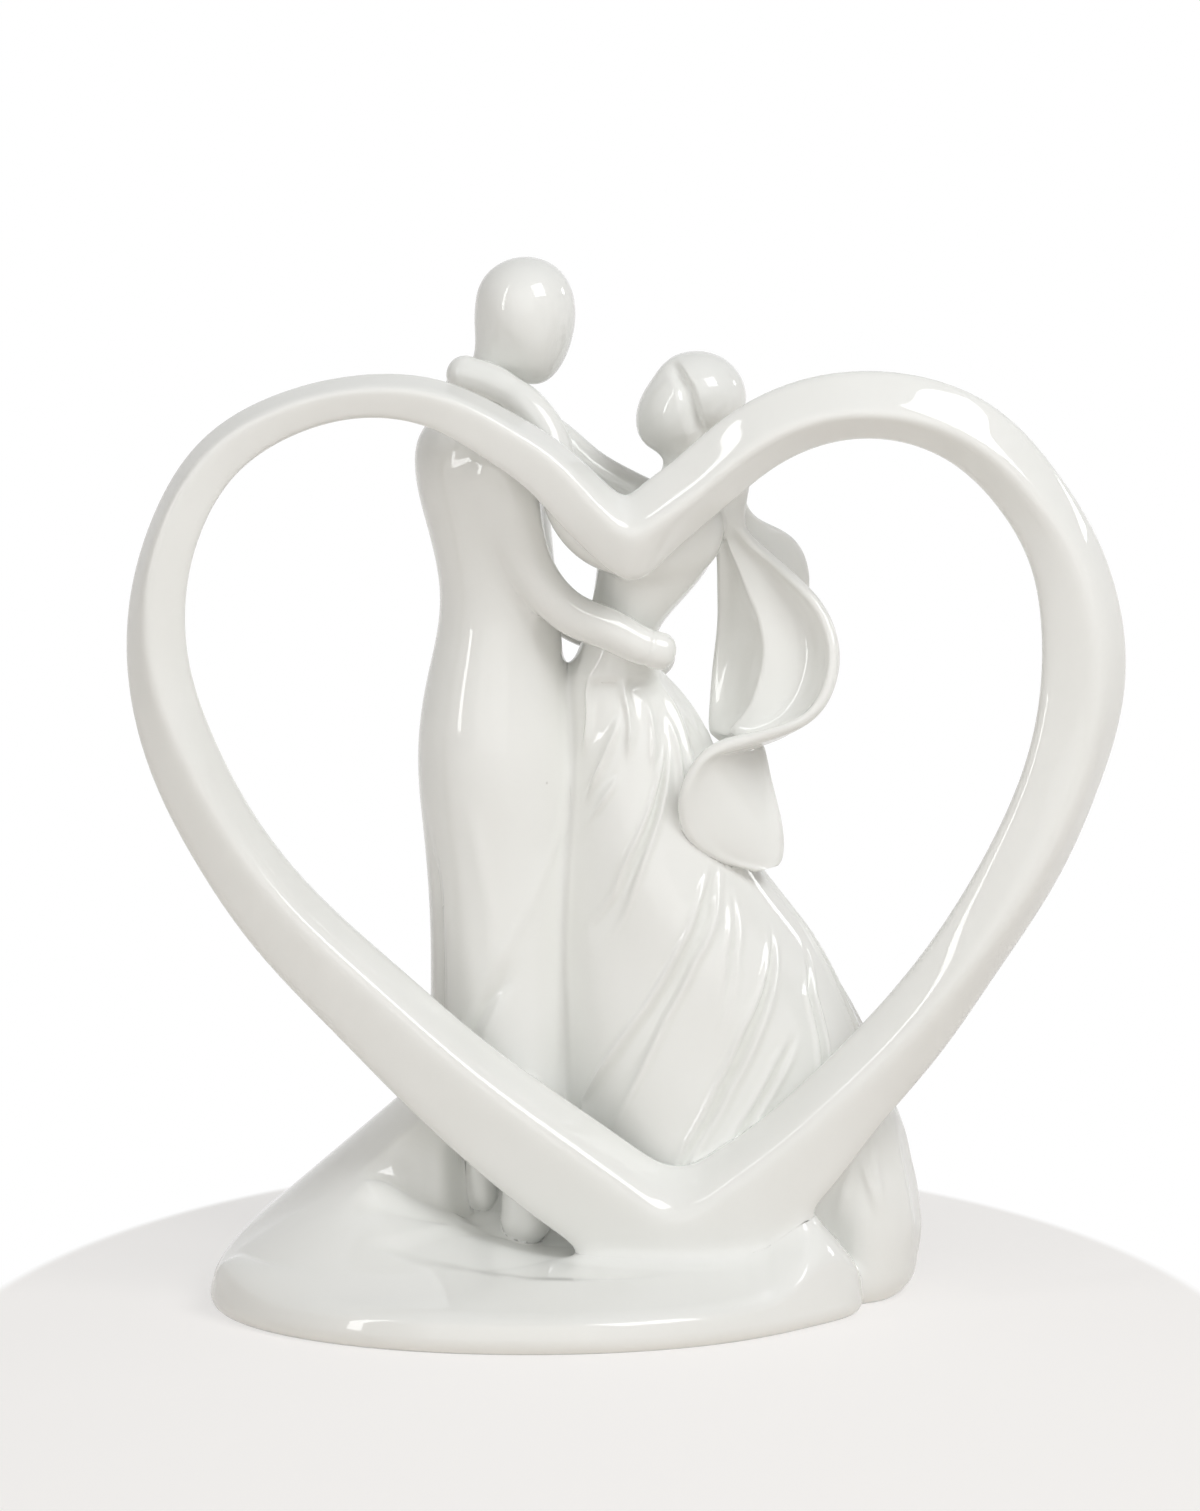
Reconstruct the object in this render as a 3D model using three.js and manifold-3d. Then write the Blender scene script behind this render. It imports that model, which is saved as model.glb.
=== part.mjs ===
// A couple inside an open heart on an oval foot: a cast, glazed porcelain cake topper.
// Millimetres. X runs to the viewer's right, Y away from the viewer, Z up from the cake.
import * as THREE from "three";
import { mergeVertices } from "three/addons/utils/BufferGeometryUtils.js";
import Module from "manifold-3d";

// Slip line left between two pieces that are stuck together.
const JOINT_GAP = 0.3;

// Oval foot and the slope that rises from it to the back of the coat.
const BASE_LENGTH = 86;
const BASE_DEPTH = 68;
const BASE_PLACE = -13;
const BASE_RIM = 4.6;
const BASE_CROWN = 8.2;
const BASE_ROUNDING = 2.4;
const BASE_BACK_RISE = 4;
const SLOPE_HEIGHT = 33;
const SLOPE_REACH = 38;
const SLOPE_SHIFT = 6;
const SLOPE_EDGE = 4;
const NICHE_FORWARD = 7;

// Open heart. The middle line of its bar runs from the foot to the top of the lobes.
const HEART_PLACE = -0.81;
const HEART_SETBACK = -8;
const HEART_SPAN = 122.2;
const HEART_FOOT = 13.5;
const HEART_RISE = 109.7;
const HEART_BAR_WIDTH = 15.6;
const HEART_BAR_DEPTH = 11;
const HEART_CORNER = 0.5;

// The couple stands behind the heart.
const COUPLE_SETBACK = 8;
const GROOM_PLACE = -17.5;
const COAT_HEM = 16;
const COAT_HEIGHT = 105.5;
const COAT_WIDTH = 20.8;
const COAT_DEPTH = 19.5;
const BRIDE_PLACE = -1.6;
const BODICE_HEIGHT = 26.2;
const BODICE_WIDTH = 16.4;
const BODICE_DEPTH = 19;
const SKIRT_HEIGHT = 80;
const SKIRT_WIDTH = 44.6;
const SKIRT_DEPTH = 28.4;
const SKIRT_SINK = 1.8;
const SKIRT_SETBACK = 1.5;
const FOLD_COUNT = 7;
const FOLD_HEIGHT = 0.9;
const FOLD_SWIRL = 1.9;
const TRAIN_OVERHANG = 1.8;
const TRAIN_HEIGHT = 27.5;
const TRAIN_WIDTH = 15.6;
const TRAIN_DEPTH = 24;

// Legs under the coat.
const LEG_DIAMETER = 4.8;
const LEG_IN_COAT = 6;
const LEG_IN_BASE = 2;
const NEAR_LEG_SHIFT = 2.9;
const NEAR_LEG_FORWARD = 8;
const FAR_LEG_SHIFT = -1.8;
const FAR_LEG_FORWARD = 2.6;

// Heads and necks.
const GROOM_HEAD_LENGTH = 17;
const GROOM_HEAD_WIDTH = 13.5;
const GROOM_HEAD_DEPTH = 13.6;
const GROOM_HEAD_TAPER = 0.13;
const GROOM_HEAD_LEAN = 9;
const GROOM_HEAD_SHIFT = 5;
const GROOM_HEAD_RISE = 10;
const GROOM_NECK_DIAMETER = 5.8;
const BRIDE_HEAD_LENGTH = 15.4;
const BRIDE_HEAD_WIDTH = 12.4;
const BRIDE_HEAD_DEPTH = 12.8;
const BRIDE_HEAD_TAPER = 0.1;
const BRIDE_HEAD_LEAN = -34;
const BRIDE_HEAD_SHIFT = 0.7;
const BRIDE_HEAD_RISE = 7.3;
const BRIDE_NECK_DIAMETER = 5.2;
const NECK_IN_BODY = 5;
const HAIR_THICKNESS = 0.8;
const HAIR_LINE_SHIFT = 1;
const HAIR_LINE_LEAN = 11;
const HAIR_TAIL_DROP = 1;
const HAIR_TAIL_BOW = 1;
const NAPE_DIAMETER = 4.4;
const NAPE_SHIFT = 6.1;
const NAPE_DROP = 7.5;

// Arms. Bend and bulge are how far an arm leaves the straight line from shoulder to hand, up and forward.
const GROOM_SHOULDER_DIAMETER = 7.6;
const GROOM_SHOULDER_SHIFT = 2.4;
const GROOM_SHOULDER_DROP = 0.5;
const GROOM_SHOULDER_OUT = 2;
const GROOM_ARM_DIAMETER = 5.7;
const GROOM_ARM_BEND = 9;
const GROOM_ARM_BULGE = 0.8;
const GROOM_HAND_REACH = 1;
const GROOM_HAND_DROP = 1;
const GROOM_HAND_PRESS = 1;
const BRIDE_SHOULDER_DIAMETER = 6.4;
const BRIDE_SHOULDER_SHIFT = 0.4;
const BRIDE_SHOULDER_RISE = 0.6;
const BRIDE_ARM_DIAMETER = 5.2;
const BRIDE_ARM_BEND = 2.2;
const BRIDE_ARM_BULGE = 2;
const BRIDE_HAND_REACH = 4.2;
const BRIDE_HAND_RISE = 3.8;
const BRIDE_HAND_PRESS = 1.4;
const HAND_DIAMETER = 4.7;
const FAR_ARM_DROP = 2.8;

// Ribbons of the veil.
const VEIL_THICKNESS = 1.7;
const VEIL_FLUTE = 1.9;
const VEIL_SPREAD = 14.3;
const VEIL_FORWARD = 10.5;
const VEIL_DROP = 47;

// Levels of the bodies from below, as shares of the body's height, width and depth: how far up, shift to the
// right, width and depth.
const COAT_LEVELS = [
  { up: 0, shift: 0.029, width: 0.885, depth: 0.974 },
  { up: 0.1327, shift: 0.01, width: 0.875, depth: 0.944 },
  { up: 0.3412, shift: 0.01, width: 0.885, depth: 0.923 },
  { up: 0.4455, shift: 0, width: 0.942, depth: 0.964 },
  { up: 0.5355, shift: -0.005, width: 1, depth: 1 },
  { up: 0.6351, shift: 0, width: 0.904, depth: 0.923 },
  { up: 0.7393, shift: 0.022, width: 0.764, depth: 0.846 },
  { up: 0.8341, shift: -0.038, width: 0.798, depth: 0.923 },
  { up: 0.9194, shift: -0.091, width: 0.856, depth: 1 },
  { up: 0.9668, shift: -0.072, width: 0.74, depth: 0.846 },
  { up: 1, shift: -0.029, width: 0.457, depth: 0.513 },
];
const SKIRT_LEVELS = [
  { up: 0, shift: 0.316, width: 0.964, depth: 0.986 },
  { up: 0.0813, shift: 0.334, width: 0.998, depth: 0.986 },
  { up: 0.2437, shift: 0.334, width: 1, depth: 1 },
  { up: 0.3312, shift: 0.305, width: 0.951, depth: 0.986 },
  { up: 0.4125, shift: 0.268, width: 0.881, depth: 0.965 },
  { up: 0.4813, shift: 0.234, width: 0.814, depth: 0.937 },
  { up: 0.55, shift: 0.195, width: 0.735, depth: 0.901 },
  { up: 0.6438, shift: 0.136, width: 0.612, depth: 0.831 },
  { up: 0.7438, shift: 0.101, width: 0.525, depth: 0.754 },
  { up: 0.8438, shift: 0.066, width: 0.442, depth: 0.655 },
  { up: 0.925, shift: 0.026, width: 0.357, depth: 0.542 },
  { up: 0.9688, shift: 0, width: 0.296, depth: 0.458 },
  { up: 1, shift: -0.002, width: 0.265, depth: 0.415 },
];
const BODICE_LEVELS = [
  { up: 0, shift: -0.006, width: 0.695, depth: 0.6 },
  { up: 0.0992, shift: 0.012, width: 0.665, depth: 0.579 },
  { up: 0.3359, shift: 0.226, width: 0.787, depth: 0.684 },
  { up: 0.4924, shift: 0.329, width: 0.939, depth: 0.816 },
  { up: 0.626, shift: 0.384, width: 1, depth: 0.921 },
  { up: 0.7786, shift: 0.457, width: 0.915, depth: 1 },
  { up: 0.9122, shift: 0.512, width: 0.671, depth: 0.842 },
  { up: 1, shift: 0.543, width: 0.396, depth: 0.421 },
];
const TRAIN_LEVELS = [
  { up: 0, shift: -0.051, width: 0.808, depth: 0.917 },
  { up: 0.1636, shift: 0, width: 1, depth: 1 },
  { up: 0.5091, shift: 0.003, width: 0.942, depth: 0.958 },
  { up: 0.7273, shift: 0.006, width: 0.763, depth: 0.792 },
  { up: 0.9091, shift: 0.026, width: 0.481, depth: 0.5 },
  { up: 1, shift: 0.026, width: 0.16, depth: 0.167 },
];

// Heart bar, round from the cleft by the left lobe, the foot and the right lobe. Place as a share of half
// the span and of the rise, then width and depth as shares of the bar's, and where its front ridge lies from
// the inner edge (-1) to the outer edge (1).
const HEART_STATIONS = [
  { across: 0.02, up: 0.829, width: 0.718, depth: 0.8, ridge: 0 },
  { across: -0.129, up: 0.901, width: 0.532, depth: 0.764, ridge: -0.1 },
  { across: -0.264, up: 0.953, width: 0.442, depth: 0.691, ridge: -0.2 },
  { across: -0.391, up: 0.989, width: 0.404, depth: 0.636, ridge: -0.2 },
  { across: -0.542, up: 1, width: 0.353, depth: 0.618, ridge: -0.15 },
  { across: -0.71, up: 0.98, width: 0.359, depth: 0.618, ridge: 0.05 },
  { across: -0.864, up: 0.927, width: 0.404, depth: 0.636, ridge: 0.15 },
  { across: -0.959, up: 0.842, width: 0.429, depth: 0.673, ridge: 0.22 },
  { across: -1, up: 0.75, width: 0.481, depth: 0.709, ridge: 0.27 },
  { across: -0.997, up: 0.664, width: 0.538, depth: 0.745, ridge: 0.25 },
  { across: -0.953, up: 0.572, width: 0.596, depth: 0.782, ridge: 0.15 },
  { across: -0.853, up: 0.46, width: 0.628, depth: 0.818, ridge: -0.05 },
  { across: -0.733, up: 0.368, width: 0.686, depth: 0.855, ridge: -0.22 },
  { across: -0.558, up: 0.269, width: 0.756, depth: 0.891, ridge: -0.35 },
  { across: -0.35, up: 0.16, width: 0.846, depth: 0.927, ridge: -0.42 },
  { across: -0.116, up: 0.05, width: 0.91, depth: 0.964, ridge: -0.4 },
  { across: 0.162, up: 0, width: 1, depth: 1, ridge: -0.2 },
  { across: 0.355, up: 0.05, width: 0.859, depth: 0.982, ridge: -0.4 },
  { across: 0.481, up: 0.132, width: 0.667, depth: 0.945, ridge: -0.2 },
  { across: 0.62, up: 0.223, width: 0.647, depth: 0.909, ridge: 0.05 },
  { across: 0.751, up: 0.322, width: 0.628, depth: 0.891, ridge: 0.22 },
  { across: 0.88, up: 0.44, width: 0.667, depth: 0.891, ridge: 0.38 },
  { across: 0.957, up: 0.542, width: 0.679, depth: 0.891, ridge: 0.38 },
  { across: 1, up: 0.652, width: 0.724, depth: 0.873, ridge: 0.32 },
  { across: 0.995, up: 0.731, width: 0.692, depth: 0.855, ridge: 0.2 },
  { across: 0.953, up: 0.816, width: 0.609, depth: 0.836, ridge: 0 },
  { across: 0.881, up: 0.884, width: 0.577, depth: 0.818, ridge: -0.2 },
  { across: 0.756, up: 0.954, width: 0.596, depth: 0.818, ridge: -0.45 },
  { across: 0.594, up: 0.987, width: 0.583, depth: 0.818, ridge: -0.55 },
  { across: 0.411, up: 0.98, width: 0.59, depth: 0.818, ridge: -0.45 },
  { across: 0.277, up: 0.944, width: 0.615, depth: 0.818, ridge: -0.3 },
  { across: 0.167, up: 0.893, width: 0.635, depth: 0.818, ridge: -0.1 },
];

// How an arm leaves its straight line: how far along, and which share of the bend it takes up.
const GROOM_ARM_LINE = [
  [0, 0], [0.073, -0.3], [0.145, -0.7], [0.227, -0.92], [0.34, -1],
  [0.464, -0.9], [0.673, -0.55], [0.855, -0.29], [1, 0],
];
const BRIDE_ARM_LINE = [
  [0, 0], [0.174, -0.73], [0.347, -1], [0.538, -0.86], [0.729, 0], [0.885, 0.68], [1, 0],
];

// Edges of the veil's ribbons from the nape down: both edges to the right of the nape's end, before (-) or
// behind it, and under (-) or over it, as shares of the veil's spread, forward reach and drop.
const FRONT_RIBBON = [
  { a: [-0.042, 0, 0.064], b: [0.07, 0.143, 0.064] },
  { a: [-0.042, -0.048, -0.053], b: [0.154, -0.095, -0.064] },
  { a: [-0.056, -0.095, -0.153], b: [0.427, -0.238, -0.153] },
  { a: [-0.028, -0.095, -0.268], b: [0.846, -0.333, -0.266] },
  { a: [-0.07, -0.095, -0.404], b: [1, -0.524, -0.396] },
  { a: [-0.112, -0.095, -0.526], b: [0.867, -0.714, -0.517] },
  { a: [-0.077, 0, -0.617], b: [0.497, -0.857, -0.606] },
  { a: [0.147, 0.048, -0.649], b: [0.007, -0.952, -0.666] },
  { a: [0.343, -0.095, -0.681], b: [-0.273, -1, -0.734] },
  { a: [0.392, -0.238, -0.772], b: [-0.364, -0.952, -0.809] },
  { a: [0.462, -0.381, -0.862], b: [-0.315, -0.81, -0.887] },
  { a: [0.483, -0.429, -0.936], b: [-0.063, -0.667, -0.957] },
  { a: [0.42, -0.429, -0.998], b: [0.364, -0.505, -1] },
];
const BACK_RIBBON = [
  { a: [-0.028, 0.095, 0.064], b: [0.098, 0.19, 0.064] },
  { a: [0.014, 0.286, -0.032], b: [0.238, 0.429, 0] },
  { a: [0.112, 0.381, -0.138], b: [0.559, 0.571, -0.074] },
  { a: [0.182, 0.381, -0.223], b: [0.72, 0.571, -0.202] },
  { a: [0.252, 0.286, -0.33], b: [0.601, 0.476, -0.309] },
  { a: [0.357, 0.19, -0.404], b: [0.406, 0.305, -0.396] },
];

const GLAZE = { color: 0xe9e9e5, roughness: 0.12, metalness: 0 };

const wasm = await Module();
wasm.setup();

const UP = new THREE.Vector3(0, 0, 1);
const AWAY = new THREE.Vector3(0, 1, 0);
const point = (x, y, z) => new THREE.Vector3(x, y, z);
const radians = THREE.MathUtils.degToRad;

function loft(rings, closed = false) {
  const count = rings[0].length;
  const points = rings.flat();
  const index = [];
  const spans = closed ? rings.length : rings.length - 1;
  for (let ring = 0; ring < spans; ring += 1) {
    const low = ring * count;
    const high = ((ring + 1) % rings.length) * count;
    for (let i = 0; i < count; i += 1) {
      const j = (i + 1) % count;
      index.push(low + i, low + j, high + j, low + i, high + j, high + i);
    }
  }
  const close = (ring, turned) => {
    const middle = points.length;
    points.push(rings[ring].reduce((sum, p) => sum.add(p), point(0, 0, 0)).divideScalar(count));
    for (let i = 0; i < count; i += 1) {
      const a = ring * count + i;
      const b = ring * count + ((i + 1) % count);
      index.push(middle, turned ? b : a, turned ? a : b);
    }
  };
  if (!closed) {
    close(0, true);
    close(rings.length - 1, false);
  }
  const geometry = new THREE.BufferGeometry().setFromPoints(points);
  geometry.setIndex(index);
  return geometry;
}

function signedVolume(geometry) {
  const place = geometry.attributes.position;
  const index = geometry.index.array;
  const [a, b, c] = [point(0, 0, 0), point(0, 0, 0), point(0, 0, 0)];
  let sum = 0;
  for (let i = 0; i < index.length; i += 3) {
    a.fromBufferAttribute(place, index[i]);
    b.fromBufferAttribute(place, index[i + 1]);
    c.fromBufferAttribute(place, index[i + 2]);
    sum += a.dot(b.cross(c));
  }
  return sum;
}

function solid(geometry) {
  const triVerts = Uint32Array.from(geometry.index.array);
  if (signedVolume(geometry) < 0) {
    triVerts.reverse();
  }
  const vertProperties = Float32Array.from(geometry.attributes.position.array);
  return new wasm.Manifold(new wasm.Mesh({ numProp: 3, vertProperties, triVerts }));
}

function between(rows, position, key) {
  const low = Math.min(Math.floor(position), rows.length - 2);
  const at = (i) => rows[Math.max(0, Math.min(rows.length - 1, i))][key];
  const t = position - low;
  const [p, q, r, s] = [at(low - 1), at(low), at(low + 1), at(low + 2)];
  const bend = (r - p) * t + (2 * p - 5 * q + 4 * r - s) * t * t + (3 * q - p - 3 * r + s) * t * t * t;
  return q + bend / 2;
}

function stacked(levels, foot, height, width, depth) {
  return levels.map((level) => ({
    x: foot.x + level.shift * width,
    y: foot.y,
    z: foot.z + level.up * height,
    width: level.width * width,
    depth: level.depth * depth,
  }));
}

function levelAt(levels, index) {
  return levels[index < 0 ? levels.length + index : index];
}

function column(levels, grow, count, steps, fold = () => 0) {
  const rings = [];
  const total = (levels.length - 1) * steps;
  for (let k = 0; k <= total; k += 1) {
    const at = k / steps;
    const low = Math.min(Math.floor(at), levels.length - 2);
    const end = k === 0 ? -grow : k === total ? grow : 0;
    const z = THREE.MathUtils.lerp(levels[low].z, levels[low + 1].z, at - low) + end;
    const ring = [];
    for (let i = 0; i < count; i += 1) {
      const turn = (2 * Math.PI * i) / count;
      const out = grow + fold(turn, k / total);
      const across = between(levels, at, "width") / 2 + out;
      const deep = between(levels, at, "depth") / 2 + out;
      const x = between(levels, at, "x") + across * Math.cos(turn);
      ring.push(point(x, levels[low].y + deep * Math.sin(turn), z));
    }
    rings.push(ring);
  }
  return solid(loft(rings));
}

function limb(spine, diameters, grow, count = 10, steps = 2) {
  const curve = new THREE.CatmullRomCurve3(spine, false, "centripetal");
  const rings = [];
  const total = (spine.length - 1) * steps;
  const rows = diameters.map((size) => ({ size }));
  const ringAt = (k, ahead, share) => {
    const along = curve.getTangent(k / total);
    const side = AWAY.clone().addScaledVector(along, -AWAY.dot(along)).normalize();
    const over = along.clone().cross(side);
    const radius = between(rows, k / steps, "size") / 2 + grow;
    const centre = curve.getPoint(k / total).addScaledVector(along, ahead * radius);
    const ring = [];
    for (let i = 0; i < count; i += 1) {
      const turn = (2 * Math.PI * i) / count;
      const out = side.clone().multiplyScalar(Math.cos(turn)).addScaledVector(over, Math.sin(turn));
      ring.push(centre.clone().addScaledVector(out, radius * share));
    }
    return ring;
  };
  for (const angle of [70, 35]) {
    rings.push(ringAt(0, -Math.sin(radians(angle)), Math.cos(radians(angle))));
  }
  for (let k = 0; k <= total; k += 1) {
    rings.push(ringAt(k, 0, 1));
  }
  for (const angle of [35, 70]) {
    rings.push(ringAt(total, Math.sin(radians(angle)), Math.cos(radians(angle))));
  }
  return solid(loft(rings));
}

function egg(centre, size, grow, rows = 9, count = 16) {
  const lean = radians(size.lean);
  const axis = point(-Math.sin(lean), 0, Math.cos(lean));
  const side = point(Math.cos(lean), 0, Math.sin(lean));
  const rings = [];
  for (let k = 0; k <= rows; k += 1) {
    const turn = (Math.PI * (k + 0.35)) / (rows + 0.7);
    const along = -Math.cos(turn);
    const share = Math.sin(turn) * (1 + size.taper * along);
    const ring = [];
    for (let i = 0; i < count; i += 1) {
      const angle = (2 * Math.PI * i) / count;
      const p = centre.clone().addScaledVector(axis, along * (size.length / 2 + grow));
      p.addScaledVector(side, Math.cos(angle) * share * (size.width / 2 + grow));
      p.addScaledVector(AWAY, Math.sin(angle) * share * (size.depth / 2 + grow));
      ring.push(p);
    }
    rings.push(ring);
  }
  return solid(loft(rings));
}

function ribbon(rows, root, grow, across = 6, steps = 2) {
  const thickness = VEIL_THICKNESS / 2 + grow;
  const reach = point(VEIL_SPREAD, VEIL_FORWARD, VEIL_DROP);
  const edge = (key) => rows.map((row) => point(...row[key]).multiply(reach).add(root));
  const edgeA = new THREE.CatmullRomCurve3(edge("a"), false, "centripetal");
  const edgeB = new THREE.CatmullRomCurve3(edge("b"), false, "centripetal");
  const total = (rows.length - 1) * steps;
  const rings = [];
  for (let k = 0; k <= total; k += 1) {
    const a = edgeA.getPoint(k / total);
    const b = edgeB.getPoint(k / total);
    const over = b.clone().sub(a);
    const along = edgeA.getTangent(k / total).add(edgeB.getTangent(k / total));
    const face = over.clone().cross(along).normalize();
    const flute = Math.min(VEIL_FLUTE, over.length() / 4);
    const front = [];
    const back = [];
    const margin = over.clone().setLength(grow);
    for (let i = 0; i <= across; i += 1) {
      const share = i / across;
      const dip = -flute * Math.sin(2 * Math.PI * share) ** 2;
      const p = a.clone().addScaledVector(over, share).addScaledVector(face, dip);
      p.addScaledVector(margin, 2 * share - 1);
      const thin = thickness * (i === 0 || i === across ? 0.6 : 1);
      front.push(p.clone().addScaledVector(face, thin));
      back.unshift(p.clone().addScaledVector(face, -thin));
    }
    rings.push([...front, ...back]);
  }
  return solid(loft(rings));
}

function heart(grow, steps = 3) {
  const centres = HEART_STATIONS.map((s) =>
    point(HEART_PLACE + (s.across * HEART_SPAN) / 2, HEART_SETBACK, HEART_FOOT + s.up * HEART_RISE));
  const count = centres.length;
  const outward = centres.map((_, i) => {
    const along = centres[(i + 1) % count].clone().sub(centres[(i + count - 1) % count]);
    return along.cross(AWAY).normalize();
  });
  const line = new THREE.CatmullRomCurve3(centres, true, "catmullrom");
  const turn = new THREE.CatmullRomCurve3(outward, true, "catmullrom");
  const bars = HEART_STATIONS.map((s) =>
    point(s.width * HEART_BAR_WIDTH, s.depth * HEART_BAR_DEPTH, s.ridge));
  const bar = new THREE.CatmullRomCurve3(bars, true, "catmullrom");
  const rings = [];
  for (let k = 0; k < count * steps; k += 1) {
    const t = k / (count * steps);
    const size = bar.getPoint(t);
    const centre = line.getPoint(t);
    const out = turn.getPoint(t).normalize();
    const half = size.x / 2 + grow;
    const deep = size.y / 2 + grow;
    const ring = barSection(half, deep, size.z).map(([u, v]) =>
      centre.clone().addScaledVector(out, u).addScaledVector(AWAY, v));
    rings.push(ring);
  }
  return solid(loft(rings, true));
}

function barSection(half, deep, ridge) {
  const swing = 1.1 * ridge * deep;
  const corners = [[ridge * half, -deep], [half, swing], [-ridge * half, deep], [-half, -swing]];
  const section = [];
  corners.forEach((corner, i) => {
    const before = corners[(i + 3) % 4];
    const after = corners[(i + 1) % 4];
    const near = (other) => corner.map((c, n) => c + ((other[n] - c) * HEART_CORNER) / 2);
    const [p, q] = [near(before), near(after)];
    const top = corner.map((c, n) => (p[n] + 2 * c + q[n]) / 4);
    section.push(p, top, q);
  });
  const wide = half / Math.max(...section.map(([u]) => u));
  const thick = deep / Math.max(...section.map(([, v]) => v));
  return section.map(([u, v]) => [u * wide, v * thick]);
}

function baseTop(x, y, share) {
  const behind = THREE.MathUtils.smoothstep(y, HEART_SETBACK, COUPLE_SETBACK);
  const rise = BASE_BACK_RISE * behind * (1 - share ** 6);
  const crown = BASE_RIM + (BASE_CROWN - BASE_RIM) * (1 - share ** 3) + rise;
  const away = Math.hypot(x - slopeFoot.x, y - slopeFoot.y);
  const slope = SLOPE_HEIGHT * (1 - away / SLOPE_REACH);
  const left = GROOM_PLACE - coat[0].width / 2 - x;
  const beside = 0.8 * left + 0.6 * (y - COUPLE_SETBACK + NICHE_FORWARD);
  const kept = THREE.MathUtils.smoothstep(beside, -SLOPE_EDGE / 2, SLOPE_EDGE / 2);
  return crown + Math.max(0, slope - crown) * kept;
}

function base() {
  const count = 48;
  const rows = 12;
  const rim = [];
  for (let i = 0; i < count; i += 1) {
    const turn = (2 * Math.PI * i) / count;
    const x = BASE_PLACE + (BASE_LENGTH / 2) * Math.cos(turn);
    rim.push(point(x, (BASE_DEPTH / 2) * Math.sin(turn), 0));
  }
  const inset = (p, by) => p.clone().addScaledVector(p.clone().sub(slopeFoot).normalize(), -by);
  const rings = [rim.map((p) => inset(p, BASE_ROUNDING / 3))];
  rings.push(rim.map((p) => p.clone().setZ(BASE_RIM / 3)));
  rings.push(rim.map((p) => inset(p, BASE_ROUNDING / 8).setZ((BASE_RIM * 2) / 3)));
  for (let k = 0; k < rows; k += 1) {
    const share = 1 - k / rows;
    const ring = rim.map((p) => {
      const q = slopeFoot.clone().lerp(inset(p, BASE_ROUNDING), share);
      return q.setZ(baseTop(q.x, q.y, share));
    });
    rings.push(ring);
  }
  return solid(loft(rings));
}

function armSpine(shoulder, hand, bend, line, bulge) {
  return line.map(([along, share]) => {
    const p = shoulder.clone().lerp(hand, along);
    p.z += share * bend;
    p.y -= bulge * Math.sin(Math.PI * along);
    return p;
  });
}

const farSide = (spine) =>
  spine.map((p) => point(p.x, 2 * COUPLE_SETBACK - p.y, p.z - FAR_ARM_DROP));

const coatFoot = point(GROOM_PLACE, COUPLE_SETBACK, COAT_HEM);
const coat = stacked(COAT_LEVELS, coatFoot, COAT_HEIGHT, COAT_WIDTH, COAT_DEPTH);
const skirtFoot = point(BRIDE_PLACE, COUPLE_SETBACK + SKIRT_SETBACK, BASE_CROWN - SKIRT_SINK);
const skirt = stacked(SKIRT_LEVELS, skirtFoot, SKIRT_HEIGHT, SKIRT_WIDTH, SKIRT_DEPTH);
const waist = point(BRIDE_PLACE, COUPLE_SETBACK, levelAt(skirt, -1).z + JOINT_GAP);
const bodice = stacked(BODICE_LEVELS, waist, BODICE_HEIGHT, BODICE_WIDTH, BODICE_DEPTH);
const trainFoot = point(BASE_PLACE + BASE_LENGTH / 2 + TRAIN_OVERHANG, skirtFoot.y, 0);
const train = stacked(TRAIN_LEVELS, trainFoot, TRAIN_HEIGHT, TRAIN_WIDTH, TRAIN_DEPTH);
const slopeFoot = point(GROOM_PLACE - SLOPE_SHIFT, COUPLE_SETBACK, 0);

const coatTop = levelAt(coat, -1);
const bodiceTop = levelAt(bodice, -1);
const groomHeadSize = {
  length: GROOM_HEAD_LENGTH,
  width: GROOM_HEAD_WIDTH,
  depth: GROOM_HEAD_DEPTH,
  taper: GROOM_HEAD_TAPER,
  lean: GROOM_HEAD_LEAN,
};
const brideHeadSize = {
  length: BRIDE_HEAD_LENGTH,
  width: BRIDE_HEAD_WIDTH,
  depth: BRIDE_HEAD_DEPTH,
  taper: BRIDE_HEAD_TAPER,
  lean: BRIDE_HEAD_LEAN,
};
const groomHead = point(coatTop.x + GROOM_HEAD_SHIFT, coatTop.y, coatTop.z + GROOM_HEAD_RISE);
const brideHead = point(bodiceTop.x + BRIDE_HEAD_SHIFT, bodiceTop.y, bodiceTop.z + BRIDE_HEAD_RISE);
const nape = point(bodiceTop.x + NAPE_SHIFT, bodiceTop.y, bodiceTop.z - NAPE_DROP);

const coatShoulder = levelAt(coat, 8);
const groomShoulder = point(
  coatShoulder.x + GROOM_SHOULDER_SHIFT,
  coatShoulder.y - coatShoulder.depth / 2 + GROOM_SHOULDER_DIAMETER / 2 - GROOM_SHOULDER_OUT,
  coatShoulder.z - GROOM_SHOULDER_DROP,
);
const bodiceWaist = levelAt(bodice, 1);
const groomHand = point(
  bodiceWaist.x + bodiceWaist.width / 2 + GROOM_HAND_REACH,
  bodiceWaist.y - bodiceWaist.depth / 2 - GROOM_ARM_DIAMETER / 2 + GROOM_HAND_PRESS,
  bodiceWaist.z - GROOM_HAND_DROP,
);
const bodiceShoulder = levelAt(bodice, 5);
const brideShoulder = point(
  bodiceShoulder.x + BRIDE_SHOULDER_SHIFT,
  bodiceShoulder.y - bodiceShoulder.depth / 2 + BRIDE_SHOULDER_DIAMETER / 2,
  bodiceShoulder.z + BRIDE_SHOULDER_RISE,
);
const brideHand = point(
  coatTop.x - BRIDE_HAND_REACH,
  coatTop.y - GROOM_NECK_DIAMETER / 2 - HAND_DIAMETER / 2 + BRIDE_HAND_PRESS,
  coatTop.z + BRIDE_HAND_RISE,
);
const groomArm = armSpine(groomShoulder, groomHand, GROOM_ARM_BEND, GROOM_ARM_LINE, GROOM_ARM_BULGE);
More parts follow.
